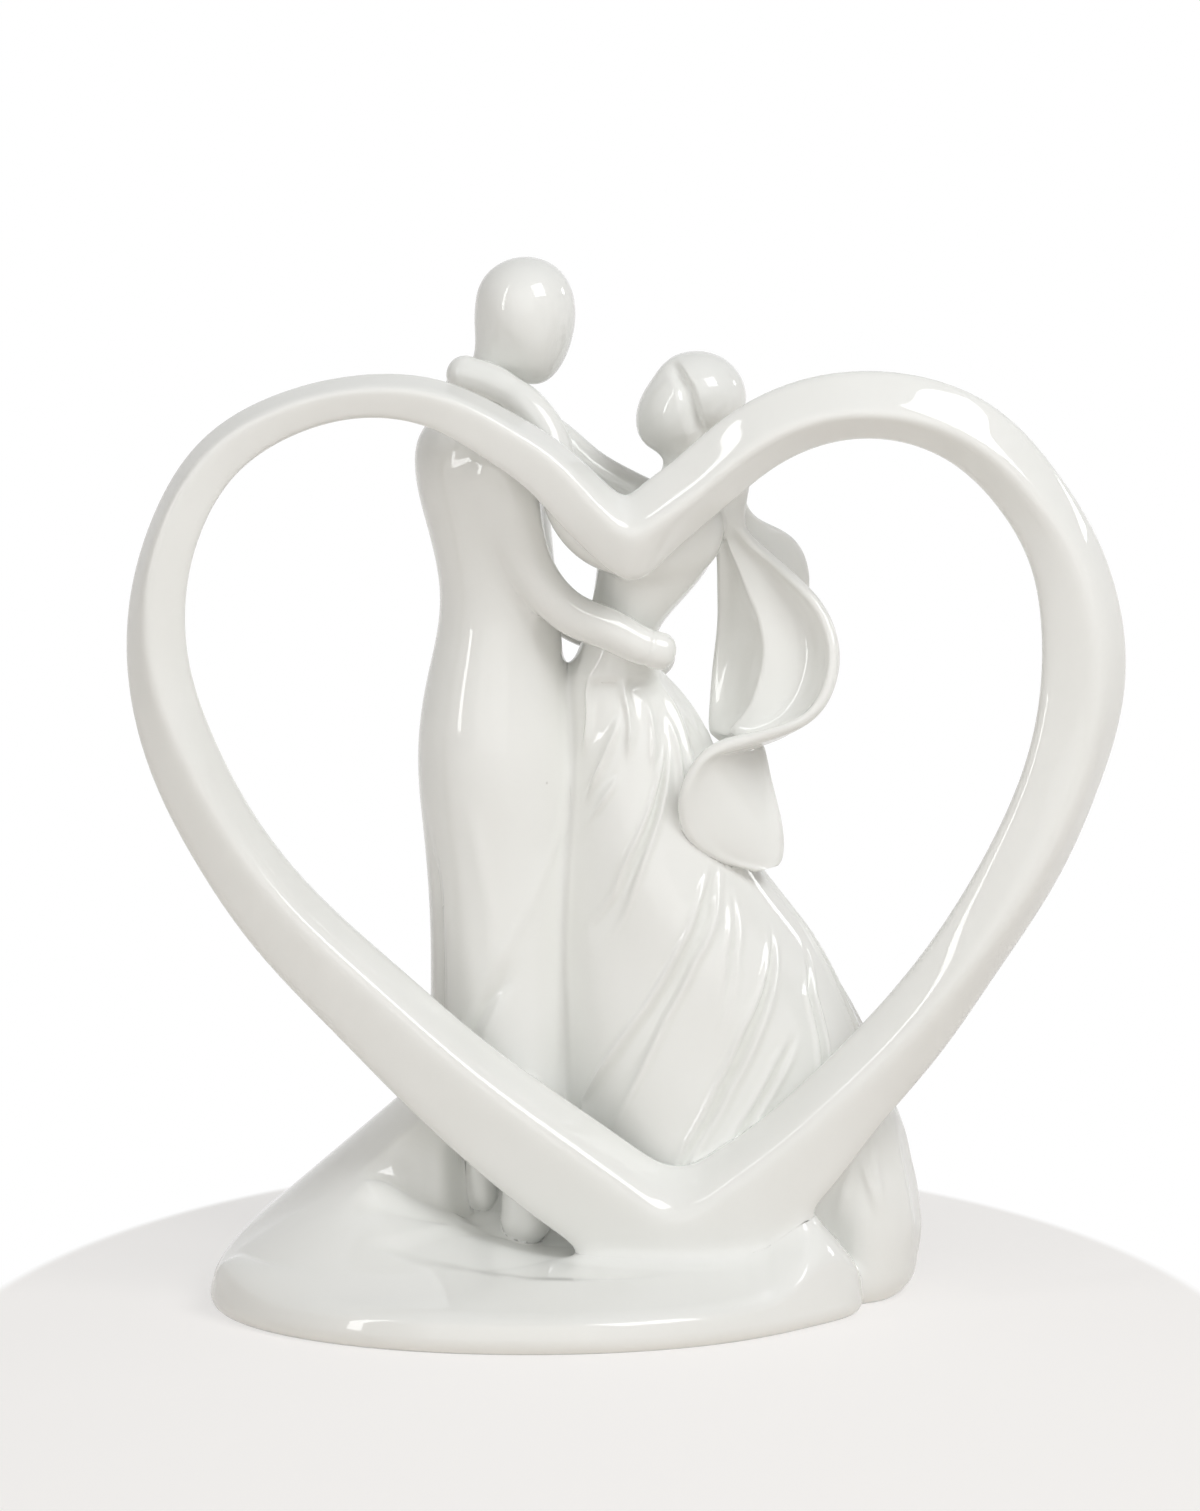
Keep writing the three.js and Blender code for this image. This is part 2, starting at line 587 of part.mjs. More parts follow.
const groomArmSizes = groomArm.map((_, i) =>
  i < 2 ? GROOM_SHOULDER_DIAMETER : i > groomArm.length - 2 ? HAND_DIAMETER : GROOM_ARM_DIAMETER);
const brideArm = armSpine(brideShoulder, brideHand, BRIDE_ARM_BEND, BRIDE_ARM_LINE, BRIDE_ARM_BULGE);
const brideArmSizes = brideArm.map((_, i) =>
  i < 1 ? BRIDE_SHOULDER_DIAMETER : i > brideArm.length - 3 ? HAND_DIAMETER : BRIDE_ARM_DIAMETER);

function leg(shift, forward, grow) {
  const x = GROOM_PLACE + shift;
  const y = COUPLE_SETBACK - forward;
  const bottom = BASE_CROWN - LEG_IN_BASE + LEG_DIAMETER / 2;
  const top = COAT_HEM + LEG_IN_COAT - LEG_DIAMETER / 2;
  const spine = [0, 0.5, 1].map((share) => point(x, y, THREE.MathUtils.lerp(bottom, top, share)));
  return limb(spine, spine.map(() => LEG_DIAMETER), grow);
}

function headWithNeck(centre, size, neckDiameter, body, grow) {
  const foot = point(body.x, body.y, body.z - NECK_IN_BODY + neckDiameter / 2);
  const top = point(body.x + (centre.x - body.x) * 0.5, body.y, centre.z - size.length * 0.2);
  const spine = [foot, foot.clone().lerp(top, 0.5), top];
  const neck = limb(spine, spine.map(() => neckDiameter), grow);
  return egg(centre, size, grow).add(neck);
}

function hair(grow) {
  const size = { ...brideHeadSize };
  for (const key of ["length", "width", "depth"]) {
    size[key] += 2 * HAIR_THICKNESS;
  }
  const cap = egg(brideHead, size, grow);
  const face = new THREE.BoxGeometry(3 * size.width, 3 * size.depth, 3 * size.length);
  face.deleteAttribute("normal");
  face.deleteAttribute("uv");
  face.translate((-3 * size.width) / 2 + HAIR_LINE_SHIFT - grow, 0, 0);
  face.rotateY(radians(HAIR_LINE_LEAN));
  face.translate(brideHead.x, brideHead.y, brideHead.z);
  const back = point(brideHead.x + BRIDE_HEAD_WIDTH * 0.42, brideHead.y, brideHead.z - HAIR_TAIL_DROP);
  const spine = [back, back.clone().lerp(nape, 0.5).add(point(HAIR_TAIL_BOW, 0, 0)), nape];
  const tail = limb(spine, spine.map(() => NAPE_DIAMETER), grow);
  return cap.subtract(solid(mergeVertices(face))).add(tail);
}

function skirtFold(turn, height) {
  const wave = Math.cos(FOLD_COUNT * (turn + FOLD_SWIRL * height));
  return FOLD_HEIGHT * (1 - height) * wave;
}

// In this order each piece keeps its own shape and makes room for itself in the pieces after it.
const shapes = [
  ["heart_ring", (grow) => heart(grow)],
  ["groom_near_arm", (grow) => limb(groomArm, groomArmSizes, grow)],
  ["groom_far_arm", (grow) => limb(farSide(groomArm), groomArmSizes, grow)],
  ["bride_near_arm", (grow) => limb(brideArm, brideArmSizes, grow)],
  ["bride_far_arm", (grow) => limb(farSide(brideArm), brideArmSizes, grow)],
  ["veil_front", (grow) => ribbon(FRONT_RIBBON, nape, grow)],
  ["veil_back", (grow) => ribbon(BACK_RIBBON, nape, grow)],
  ["groom_near_leg", (grow) => leg(NEAR_LEG_SHIFT, NEAR_LEG_FORWARD, grow)],
  ["groom_far_leg", (grow) => leg(FAR_LEG_SHIFT, FAR_LEG_FORWARD, grow)],
  ["groom_head", (grow) => headWithNeck(groomHead, groomHeadSize, GROOM_NECK_DIAMETER, coatTop, grow)],
  ["bride_head", (grow) => headWithNeck(brideHead, brideHeadSize, BRIDE_NECK_DIAMETER, bodiceTop, grow)],
  ["bride_hair", (grow) => hair(grow)],
  ["groom_body", (grow) => column(coat, grow, 20, 2)],
  ["bride_torso", (grow) => column(bodice, grow, 18, 2)],
  ["bride_train", (grow) => column(train, grow, 16, 2)],
  ["bride_skirt", (grow) => column(skirt, grow, 42, 1, skirtFold)],
  ["base", () => base()],
];

// The cut body without crumbs: the connected part with the most triangles.
function largest(triangles, vertexCount) {
  const head = Array.from({ length: vertexCount }, (_, i) => i);
  const find = (i) => {
    let root = i;
    while (head[root] !== root) {
      head[root] = head[head[root]];
      root = head[root];
    }
    return root;
  };
  for (let i = 0; i < triangles.length; i += 3) {
    head[find(triangles[i])] = find(triangles[i + 1]);
    head[find(triangles[i + 1])] = find(triangles[i + 2]);
  }
  const sizes = new Map();
  for (let i = 0; i < triangles.length; i += 3) {
    const root = find(triangles[i]);
    sizes.set(root, (sizes.get(root) ?? 0) + 1);
  }
  const [best] = [...sizes].sort((one, other) => other[1] - one[1])[0];
  return triangles.filter((_, i) => find(triangles[i - (i % 3)]) === best);
}

const group = new THREE.Group();
group.name = "cake_topper";
const rooms = [];
for (const [name, shape] of shapes) {
  let body = shape(0);
  for (const room of rooms) {
    body = body.subtract(room);
  }
  rooms.push(shape(JOINT_GAP));
  const { vertProperties, triVerts } = body.getMesh();
  const geometry = new THREE.BufferGeometry();
  geometry.setAttribute("position", new THREE.BufferAttribute(Float32Array.from(vertProperties), 3));
  const kept = largest(Array.from(triVerts), vertProperties.length / 3);
  geometry.setIndex(kept);
  geometry.computeVertexNormals();
  const mesh = new THREE.Mesh(geometry, new THREE.MeshStandardMaterial(GLAZE));
  mesh.name = name;
  group.add(mesh);
}

export default group;
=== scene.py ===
"""A couple inside an open heart: a cast, white glazed porcelain cake topper.

Lengths are drawn in millimetres for a topper 140 mm tall and follow the frame's real height. The floor, the
lamps and the camera are in metres. X runs to the viewer's right, Y away from the viewer, Z up.
"""
import math

import bpy
import numpy as np
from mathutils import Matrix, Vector
from mathutils.bvhtree import BVHTree


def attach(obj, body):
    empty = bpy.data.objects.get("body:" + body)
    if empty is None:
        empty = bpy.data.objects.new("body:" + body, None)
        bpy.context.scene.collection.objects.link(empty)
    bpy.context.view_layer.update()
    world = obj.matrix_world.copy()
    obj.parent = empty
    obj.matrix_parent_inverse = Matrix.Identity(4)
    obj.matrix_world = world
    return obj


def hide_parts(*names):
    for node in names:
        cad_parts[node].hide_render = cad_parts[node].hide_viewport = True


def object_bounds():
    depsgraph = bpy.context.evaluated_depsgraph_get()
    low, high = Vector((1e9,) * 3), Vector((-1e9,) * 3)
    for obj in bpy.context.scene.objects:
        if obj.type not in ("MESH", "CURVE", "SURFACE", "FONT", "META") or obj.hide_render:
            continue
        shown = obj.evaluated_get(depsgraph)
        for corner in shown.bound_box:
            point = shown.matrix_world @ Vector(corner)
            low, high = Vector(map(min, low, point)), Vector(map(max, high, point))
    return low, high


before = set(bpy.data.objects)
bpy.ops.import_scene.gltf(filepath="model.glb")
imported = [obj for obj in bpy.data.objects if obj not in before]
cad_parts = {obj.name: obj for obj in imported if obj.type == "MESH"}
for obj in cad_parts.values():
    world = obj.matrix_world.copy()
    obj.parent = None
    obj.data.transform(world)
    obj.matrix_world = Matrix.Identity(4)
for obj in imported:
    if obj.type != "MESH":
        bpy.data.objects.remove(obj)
cad_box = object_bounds()

DRAWN_HEIGHT = 140.0
UNIT = (cad_box[1][2] - cad_box[0][2]) / DRAWN_HEIGHT

# Places of the main pieces.
HEART_PLACE = (-0.81, -8, 13.5)
HEART_SPAN = 122.2
HEART_RISE = 109.7
COUPLE_SETBACK = 8
GROOM_PLACE = -17.5
BRIDE_PLACE = -1.6
SKIRT_SETBACK = 9.5
BASE_CENTRE = -13
BASE_SIZE = (86, 68)
BASE_RIM = 4.6
BASE_CROWN = 9
BASE_BACK_RISE = 3.4
BASE_BACK = (-3, 5)
# Rounding of the rim, on the right and on the left end, and where it changes.
RIM_EDGE = (2.6, 4.4)
RIM_EDGE_LEFT = (36, 54)
SLOPE_TOP = (-23.5, 8)
SLOPE_HEIGHT = 33
SLOPE_REACH = 38
SLOPE_BLEND = 3
# Apron in front of the slope: its rise, and where it starts and ends to the left, in front and behind.
APRON_RISE = 6.5
APRON_SIDE = (8, 40)
APRON_FRONT = (-26, -7)
APRON_BACK = (-4, 4)
# Hollow in front of the slope: line and width of its upper edge, and where it runs out on the left.
HOLLOW_LINE = [
    (-56, -12), (-44, -7.6), (-34, -4), (-25.9, -1.2), (-23.8, -0.2), (-22.2, 2.2), (-20.6, 4.2),
    (-16, 4.8), (-8, 5.6), (30, 9),
]
HOLLOW_EDGE = (-2.2, 1.6)
HOLLOW_END = (27, 43)
# Pool in front of the legs: far and near edge, depth, softness of both edges, and its end on the right.
POOL_FAR = [
    (-38, -15.6), (-35, -14.2), (-32.7, -13.5), (-30, -12.3), (-26, -9.1), (-22, -4.2),
    (-18, -0.6), (-10, 2), (30, 2),
]
POOL_NEAR = [
    (-38, -14), (-35.1, -14.8), (-32.7, -16.2), (-27.3, -18), (-22, -19), (-16.7, -20.3),
    (-12.5, -21.2), (-6.2, -21.2), (-0.9, -20.6), (8, -18), (30, -14),
]
POOL_DEPTH = 0.6
POOL_EDGES = ((-0.5, 3), (-0.6, 3))
POOL_END = (-2, 9)
# Ledge across the hollow: right end, way to the left, height at that end, climb, and its soft edges.
LEDGE_END = (-22.2, -2)
LEDGE_WAY = (-0.939, -0.344)
LEDGE_HEIGHT = 12.6
LEDGE_CLIMB = 0.38
LEDGE_EDGE = (-3.2, 1.2)
LEDGE_START = (-3, 2)
# Right end of the foot, curled up against the heart: its height by place, and the line of its crest.
LIP_TOP = [
    (4, 8), (12, 8.2), (16, 8.8), (19, 10), (22, 12.4), (23.8, 13.7), (25.6, 13),
    (27.4, 11.1), (29.2, 9), (31, 6.8), (32, 5.4),
]
LIP_LINE = -8
LIP_SPREAD = (9, 3.5)
# The rim bulges out under the lip: how far, where round the oval and over which turn, in degrees.
LIP_BULGE = (2.6, -14, 13)
# Powers by which the crown and the back fall off to the rim.
CROWN_FALL = 3
BACK_FALL = 6
# Side of the foot from below, as inset from the rim and height.
FOOT_PROFILE = [
    (6, 0), (3, 0), (1.4, 0), (1, 0.05), (0.7, 0.2), (0.4, 0.5), (0.15, 1), (0.02, 1.6),
    (0.05, 2.2), (0.2, 2.8),
]
# The top: its start inside the rim, the power by which its rings crowd there, and its share of a full round.
TOP_INSET = 0.35
RING_CROWDING = 1.15
RIM_DROP = 0.45

# Bodies from below: height, shift to the right of the body's place, width and depth.
COAT_LEVELS = [
    (23, 0.4, 18.2, 18.6), (30, 0.2, 18.2, 18.4), (52, 0.2, 18.4, 18), (63, 0, 19.6, 18.8),
    (72.5, -0.1, 20.8, 19.5), (83, 0, 18.8, 18), (94, 0.45, 15.9, 16.5), (104, -0.8, 16.6, 18),
    (113, -1.9, 17.8, 19.5), (118, -1.5, 15.4, 16.5), (121.5, -0.6, 9.5, 10),
]
SKIRT_LEVELS = [
    (6.4, 14.1, 43, 28), (12.9, 14.9, 44.5, 28), (25.9, 14.9, 44.6, 28.4), (32.9, 13.6, 42.4, 28),
    (39.4, 11.95, 39.3, 27.4), (44.9, 10.45, 36.3, 26.6), (50.4, 8.7, 32.8, 25.6), (57.9, 6.05, 27.3, 23.6),
    (65.9, 4.5, 23.4, 21.4), (73.9, 2.95, 19.7, 18.6), (80.4, 1.15, 15.9, 15.4), (83.9, 0, 13.2, 13),
    (86.4, 0.4, 10.7, 11.4), (89, 0.7, 9.5, 10.4),
]
BODICE_LEVELS = [
    (84, -0.1, 11.6, 11.6), (86.7, 0.4, 10.4, 11), (89.3, 0.8, 9.7, 10.8), (95.5, 3.7, 12.9, 13),
    (99.6, 5.4, 15.4, 15.5), (102.8, 6.3, 16.4, 17.5), (105.6, 7.5, 14.6, 18.4), (107.8, 8.4, 10.6, 14),
    (109.2, 8.9, 6.4, 7.5),
]
# Rounding of a body's top and foot, the steps of that rounding, and the least half width that it leaves.
BODY_ROUNDING = (2.5, 1)
TRAIN_ROUNDING = (0.8, 0.6)
BODY_ROUNDING_STEPS = 8
LEAST_HALF = 0.1
TRAIN_PLACE = 31.8
TRAIN_LEVELS = [
    (0, -0.8, 12.6, 22), (1.2, -0.5, 14.4, 23.2), (4.5, 0, 15.6, 24), (14, 0.05, 14.7, 23),
    (20, 0.1, 11.9, 19), (25, 0.4, 7.5, 12), (27.5, 0.4, 2.5, 4),
]

# Heart limbs between the cleft and the foot: place as a share of half the span and of the rise, width, depth,
# place of the front ridge (-1 at the inner edge, 1 at the outer) and how round the ridges are.
LEFT_LIMB = [
    (0.02, 0.82, 8.8, 8.8, 0.3, 0.36), (-0.075, 0.866, 8, 8.6, 0.42, 0.32),
    (-0.15, 0.909, 7.4, 8.3, 0.5, 0.26), (-0.264, 0.953, 6.8, 7.6, 0.52, 0.24),
    (-0.391, 0.989, 6.2, 7, 0.5, 0.24), (-0.542, 1, 5.5, 6.8, 0.45, 0.24),
    (-0.71, 0.98, 5.6, 6.8, 0.45, 0.24), (-0.864, 0.927, 6.3, 7, 0.47, 0.24),
    (-0.959, 0.842, 6.7, 7.4, 0.5, 0.26), (-1, 0.75, 7.5, 7.8, 0.38, 0.3),
    (-0.997, 0.664, 8.4, 8.2, 0.15, 0.32), (-0.953, 0.572, 9.3, 8.6, -0.15, 0.32),
    (-0.853, 0.46, 9.8, 9, -0.28, 0.3), (-0.733, 0.368, 10.7, 9.4, -0.36, 0.28),
    (-0.558, 0.269, 11.8, 9.8, -0.42, 0.27), (-0.35, 0.16, 13.2, 10.2, -0.46, 0.27),
    (-0.116, 0.057, 14.8, 10.6, -0.46, 0.28), (0.12, -0.036, 14.5, 11, -0.42, 0.3),
]
RIGHT_LIMB = [
    (0.12, -0.036, 14.5, 11, -0.42, 0.3), (0.35, 0.058, 13.2, 10.8, -0.48, 0.34),
    (0.479, 0.135, 11.2, 10.4, -0.3, 0.36), (0.62, 0.223, 10.4, 10, -0.06, 0.36),
    (0.751, 0.322, 9.8, 9.8, 0.2, 0.34), (0.88, 0.44, 10.4, 9.8, 0.37, 0.3),
    (0.957, 0.542, 10.6, 9.8, 0.43, 0.28), (1, 0.652, 11.3, 9.6, 0.36, 0.3),
    (0.995, 0.731, 10.8, 9.4, 0.33, 0.34), (0.953, 0.816, 9.5, 9.2, 0.25, 0.36),
    (0.881, 0.884, 9, 9, 0.05, 0.34), (0.756, 0.954, 9.3, 9, -0.15, 0.26),
    (0.594, 0.987, 9.1, 9, -0.22, 0.22), (0.411, 0.98, 9.2, 9, -0.18, 0.22),
    (0.277, 0.944, 9.3, 9, -0.15, 0.22), (0.167, 0.893, 9.2, 9, -0.12, 0.22),
    (0.09, 0.857, 9.3, 8.9, -0.05, 0.26), (0.02, 0.82, 9.3, 8.8, 0.2, 0.34),
]
# How far the side corners of a section swing against the ridges.
RIDGE_SWING = 1.1
# Joints of the limbs: length of the cut, rounding of the inner and the outer edge at the cleft, rounding of
# the ridge and the inner edge at the foot, and where that edge starts.
MITRE_REACH = 15
CLEFT_ROUNDING = (2.4, 1.3)
FOOT_ROUNDING = (3, 5)
FOOT_INNER_EDGE = (0.45, 1)
HEART_STEP = 0.44
HEART_COUNT = 112
HEART_FINE_STEPS = 4000

# Legs: place, foot, width and the shoe's width. The shoe narrows to the leg at these heights over its middle.
NEAR_LEG = (-13.4, -1.4, 8.3, 6.2, 7)
FAR_LEG = (-19.7, 3.6, 11.8, 4.5, 4.7)
SHOE_HEIGHTS = (3, 6)
LEG_TOP = 28
# Necks: foot, top and width, and how much wider they are at the foot and at the top.
GROOM_NECK = ((-20.1, 8, 119.5), (-16.2, 8, 130), 5.8)
BRIDE_NECK = ((7.6, 8, 107.4), (7.7, 8, 119.4), 5.2)
NECK_FLARE = (1.25, 1.1)
# Arms as points with diameters. The groom's far arm is the near one, mirrored and a little lower.
GROOM_ARM = [
    (-17, 0.05, 112.5, 7.6), (-15.4, -0.1, 108, 7.4), (-13.8, -0.3, 102.7, 6.4), (-12, -0.5, 98.7, 5.8),
    (-9.5, -0.6, 95.3, 5.7), (-6.8, -0.5, 93.2, 5.7), (-2.2, -0.2, 91.3, 5.6), (1.8, 0.2, 89.2, 5.2),
    (4.6, 0.6, 88.3, 5),
]
BRIDE_ARM = [
    (8.8, 4.4, 103, 7), (5.2, 1.9, 101.8, 6.4), (0.2, 0.4, 101.2, 5.7), (-5, -0.2, 103.2, 5.2),
    (-8.2, -0.5, 107.6, 5.1), (-9.2, -0.6, 112, 5.1), (-9.7, -0.5, 115.6, 5.2), (-11.1, 0, 118.4, 5.2),
    (-13.6, 1, 121.4, 5), (-17.2, 2.3, 123.8, 4.8), (-21.4, 3.6, 125, 5.1),
]
BRIDE_FAR_ARM = [
    (9, 12.4, 104, 7), (5.6, 14.2, 105.6, 6), (2.3, 15, 107.3, 5.5), (-1.6, 15.2, 109.4, 5.2),
    (-4.8, 15.2, 111.4, 5.1), (-9.3, 15, 115.2, 5.1), (-14.5, 14, 118.8, 4.9), (-19, 12.8, 121.6, 4.8),
    (-22, 11.9, 122.4, 4.7),
]
FAR_ARM_DROP = 2.8
# Crease before the hand: its distance from the arm's end, half width and depth.
GROOM_CREASE = (1.7, 0.3, 0.13)
BRIDE_CREASE = (6.6, 1.6, 0.25)
# The groom's arms are squeezed from front to back, and so are their round ends along the arm.
GROOM_ARM_FLAT = 0.94
GROOM_ARM_CAP = 0.8
# Steps of a limb's round end, and the share of its length over which its direction is taken.
LIMB_END_STEPS = 13
LIMB_NUDGE = 1e-3

# Hair at the nape, from the head down to where the veil starts.
NAPE = (13.4, 8, 105.4)
NAPE_HAIR = [(12.4, 8, 120.2, 5.2), (14.4, 8, 112.5, 4.6), (*NAPE, 4.2)]
# Veil ribbons from the nape down: points of both edges, from the nape's end, place and rise of the crest
# between the two scoops, and depth of each scoop.
FRONT_RIBBON = [
    (-0.4, 0, 3, 0.8, 0.5, 3, 0.38, 0, 0, 0),
    (-0.5, 0.5, -2.6, 1.8, -1, -1.4, 0.42, 0.3, 0.2, 0.2),
    (-0.4, 1.2, -6.5, 5, -2.3, -4.6, 0.45, 0.8, 0.5, 0.7),
    (-0.3, 2.4, -10.6, 8.8, -4.4, -7.8, 0.46, 1.3, 0.8, 1.3),
    (-0.3, 3, -14.6, 12.2, -6.2, -11.5, 0.47, 1.6, 0.9, 1.9),
    (-0.7, 3, -18.8, 14, -7.8, -16.3, 0.48, 1.6, 0.9, 2.3),
    (-1.1, 2.6, -22.9, 13.6, -9.2, -21, 0.46, 1.4, 0.8, 2.4),
    (-1.4, 1.6, -27.1, 11.3, -10.2, -25, 0.41, 1, 0.6, 2.2),
    (-1.1, 0.8, -29.6, 7.2, -10.6, -27.3, 0.33, 0.6, 0.3, 1.6),
    (1.2, -0.4, -30.2, 2.6, -10.2, -28.6, 0.22, 0.3, 0.2, 1),
    (3.2, -1.2, -30, -1.6, -10.5, -29.9, 0.14, 0.1, 0, 0.8),
    (4.3, -1.8, -31, -4.2, -10.5, -32.5, 0.08, 0, 0, 0.8),
    (5.1, -2.4, -34.6, -5.5, -10.2, -36, 0.05, 0, 0, 0.9),
    (6.2, -3.5, -39, -5.4, -9.2, -39.6, 0.05, 0, 0, 0.9),
    (6.8, -4.3, -42.4, -3.6, -8, -42.9, 0.05, 0, 0, 0.7),
    (6.7, -4.7, -45.2, 0.2, -6.6, -45.5, 0.05, 0, 0, 0.3),
    (6, -5, -46.6, 4.6, -5.5, -46.9, 0.05, 0, 0, 0),
]
BACK_RIBBON = [
    (-0.4, 1, 3, 1.4, 2, 3, 0.05, 0, 0, 0),
    (0.2, 3, -1.5, 3.6, 4.5, -0.8, 0.05, 0, 0, -0.3),
    (1.6, 4, -6.5, 8.2, 5.5, -3.7, 0.05, 0, 0, -0.8),
    (2.6, 4, -10.5, 10.4, 5.5, -8.8, 0.05, 0, 0, -1),
    (3.6, 3, -15.5, 9.2, 5, -14.2, 0.05, 0, 0, -0.7),
    (5.1, 2, -19, 5.8, 3.2, -18.6, 0.05, 0, 0, 0),
]
VEIL_THICKNESS = 1.4
# Rolled edge: how much it is thicker on each face, over which width, and the points round it.
VEIL_ROLL = 0.2
VEIL_ROLL_WIDTH = 1.2
VEIL_ROLL_POINTS = 13
# Limits of the crest's place, and the share of the length over which the ribbon's direction is taken.
CREST_LIMITS = (0.05, 0.95)
VEIL_NUDGE = 2e-3

# Heads: centre, length, width, depth, taper and lean in degrees.
GROOM_HEAD = ((-13.2, 8, 131.8), 17.1, 13, 13.6, 0.21, 9.5)
BRIDE_HEAD = ((8.26, 8, 120.94), 16.1, 11.2, 13, 0, -46.2)
BRIDE_HAIR = ((9.9, 8, 122.4), 10.5, 12.2, 13, 0, -19)
# Hairline: height and place, lean, how far the hair turns in, over which length and how far from the crown,
# and how deep the face draws in beside the hair and under it.
HAIRLINE = [
    (117, 10.4), (118.8, 9.7), (120, 9.45), (121.5, 9.1), (122.8, 8.8), (124, 8.33), (125, 7.65),
    (126, 6.95), (128.5, 5.2),
]
HAIR_LEAN = 0.93
HAIR_TURN_IN = 2
HAIR_EDGE = (-1, 0.7)
HAIR_CROWN = (1.2, 5.6)
HAIR_GROOVE = 1.5
HAIR_GROOVE_EDGE = (-2.4, 0.3)
HAIR_COVER = 1.2
HAIR_COVER_EDGE = (0.2, 3)

# Channels of the skirt: two lines of (height, turn in degrees), and a depth, which CHANNEL_DEPTH scales.
SKIRT_CHANNELS = [
    ([(77, -60), (69.8, -81), (61, -105), (55.7, -119), (51, -138)],
     [(76, -59), (69.7, -74), (61, -95), (53.4, -113), (47.6, -132)], 0.55),
    ([(60.5, -54), (54.8, -74), (48.5, -93), (41.1, -112), (33.9, -131), (27, -150)],
     [(59.5, -49), (52.4, -70), (47, -87), (39.2, -105), (27.7, -126), (20, -142)], 0.55),
    ([(56.5, -50), (48.1, -72), (42.1, -81), (36, -90)],
     [(56, -47), (48.1, -66), (42.1, -76), (36, -87)], 0.3),
]
# Channels whose two lines share their heights: height, turn of the first line and of the second.
EVEN_CHANNELS = [
    ([(52, -38, -34), (44.2, -60, -54), (38, -76, -69), (30.1, -92, -86), (22, -105, -100),
      (14, -116, -110)], 0.55),
    ([(38, -56, -50), (33.9, -67, -61), (29.8, -76, -71), (21, -94, -90), (14, -106, -102)], 0.45),
    ([(48, -24, -18), (42, -40, -34), (35.9, -46, -41), (26, -58, -53), (16, -70, -64)], 0.5),
    ([(62, 0, 6), (50, -8, -1), (38, -16, -10), (18, -32, -26)], 0.5),
    ([(70, 40, 48), (56, 26, 34), (40, 12, 19), (16, -2, 4)], 0.55),
    ([(66, 78, 86), (52, 62, 70), (38, 48, 55), (14, 32, 38)], 0.55),
    ([(72, 122, 130), (58, 102, 110), (42, 84, 91), (16, 64, 70)], 0.55),
    ([(64, 158, 166), (50, 138, 146), (36, 122, 129), (12, 102, 108)], 0.55),
]
CHANNEL_DEPTH = 1.25
# Wall of a channel as a share of its width and a little more, and the lengths of its foot and top.
CHANNEL_WALL = (0.35, 0.05)
CHANNEL_ENDS = (14, 7)
# Each edge of a channel is a ridge: its height as a share of the channel's depth, and its half width.
CHANNEL_LIP = 0.75
CHANNEL_LIP_HALF = 0.5
# Broad waves round the skirt: count, height, twist in radians per mm, and where they start and are full.
SKIRT_WAVES = 5
SKIRT_WAVE_HEIGHT = 0.25
SKIRT_WAVE_TWIST = 0.028
SKIRT_WAVE_GROWTH = (84, 50)
# A narrow fold starts this far above its line, and its sides fall off by this power.
FOLD_START = 1
FOLD_POWER = 1.5
# Gathers under the waist: line of the ridge, half width, and rise, which GATHER_HEIGHT scales.
GATHER_HEIGHT = 1.6
GATHER_ENDS = 4.5
SKIRT_GATHERS = [
    ([(87.5, -112), (80.1, -124), (73.2, -136)], 0.55, 0.55),
    ([(80, -94), (76, -108), (71, -124), (67, -138)], 0.6, 0.6),
    ([(72, -104), (67.5, -122), (64, -138)], 0.5, 0.4),
    ([(86.5, -76), (83.8, -80), (78.9, -88), (73, -98)], 0.55, 0.6),
    ([(82, -62), (78.5, -69), (71, -82)], 0.5, 0.45),
    ([(79, -50), (74, -56), (66, -66)], 0.45, 0.45),
    ([(84, -30), (76, -44), (66, -58)], 1, 0.5), ([(85, 12), (76, 0), (68, -12)], 1, 0.6),
    ([(85, 56), (77, 44), (70, 34)], 1, 0.6), ([(86, 100), (78, 88), (72, 78)], 1, 0.6),
    ([(85, 150), (76, 138), (69, 128)], 1, 0.6),
]
# Folds of the train: line of the ridge, half width and rise.
TRAIN_ENDS = 5
TRAIN_FOLDS = [
    ([(24, -101), (20.4, -95), (18.5, -88), (15.5, -80), (11, -72)], 0.9, 0.6),
    ([(26, -82), (22.6, -79), (20.7, -76), (18.2, -75), (12, -68)], 0.8, 0.6),
    ([(21.5, -96), (17.6, -104), (15.8, -109), (10, -118)], 0.9, 0.5),
    ([(24, -40), (16, -38), (6, -34)], 1.2, 0.45), ([(24, 0), (14, -6), (4, -10)], 1.2, 0.45),
    ([(24, 46), (14, 38), (4, 32)], 1.2, 0.45), ([(24, 92), (14, 84), (4, 78)], 1.2, 0.45),
]

# Grooves along the coat's tails: side and line, start, end and length of both ends, depth, distance from the
# line, and half width on the soft and the sharp side.
COAT_TAILS = [(1, [(64, -150), (57, -144), (49, -143), (16, -139)]), (-1, [(64, 150), (16, 139)])]
TAIL_RUN = (8, 66, 14)
TAIL_DEPTH = 0.7
TAIL_SHIFT = 1
TAIL_HALF = (0.9, 0.25)
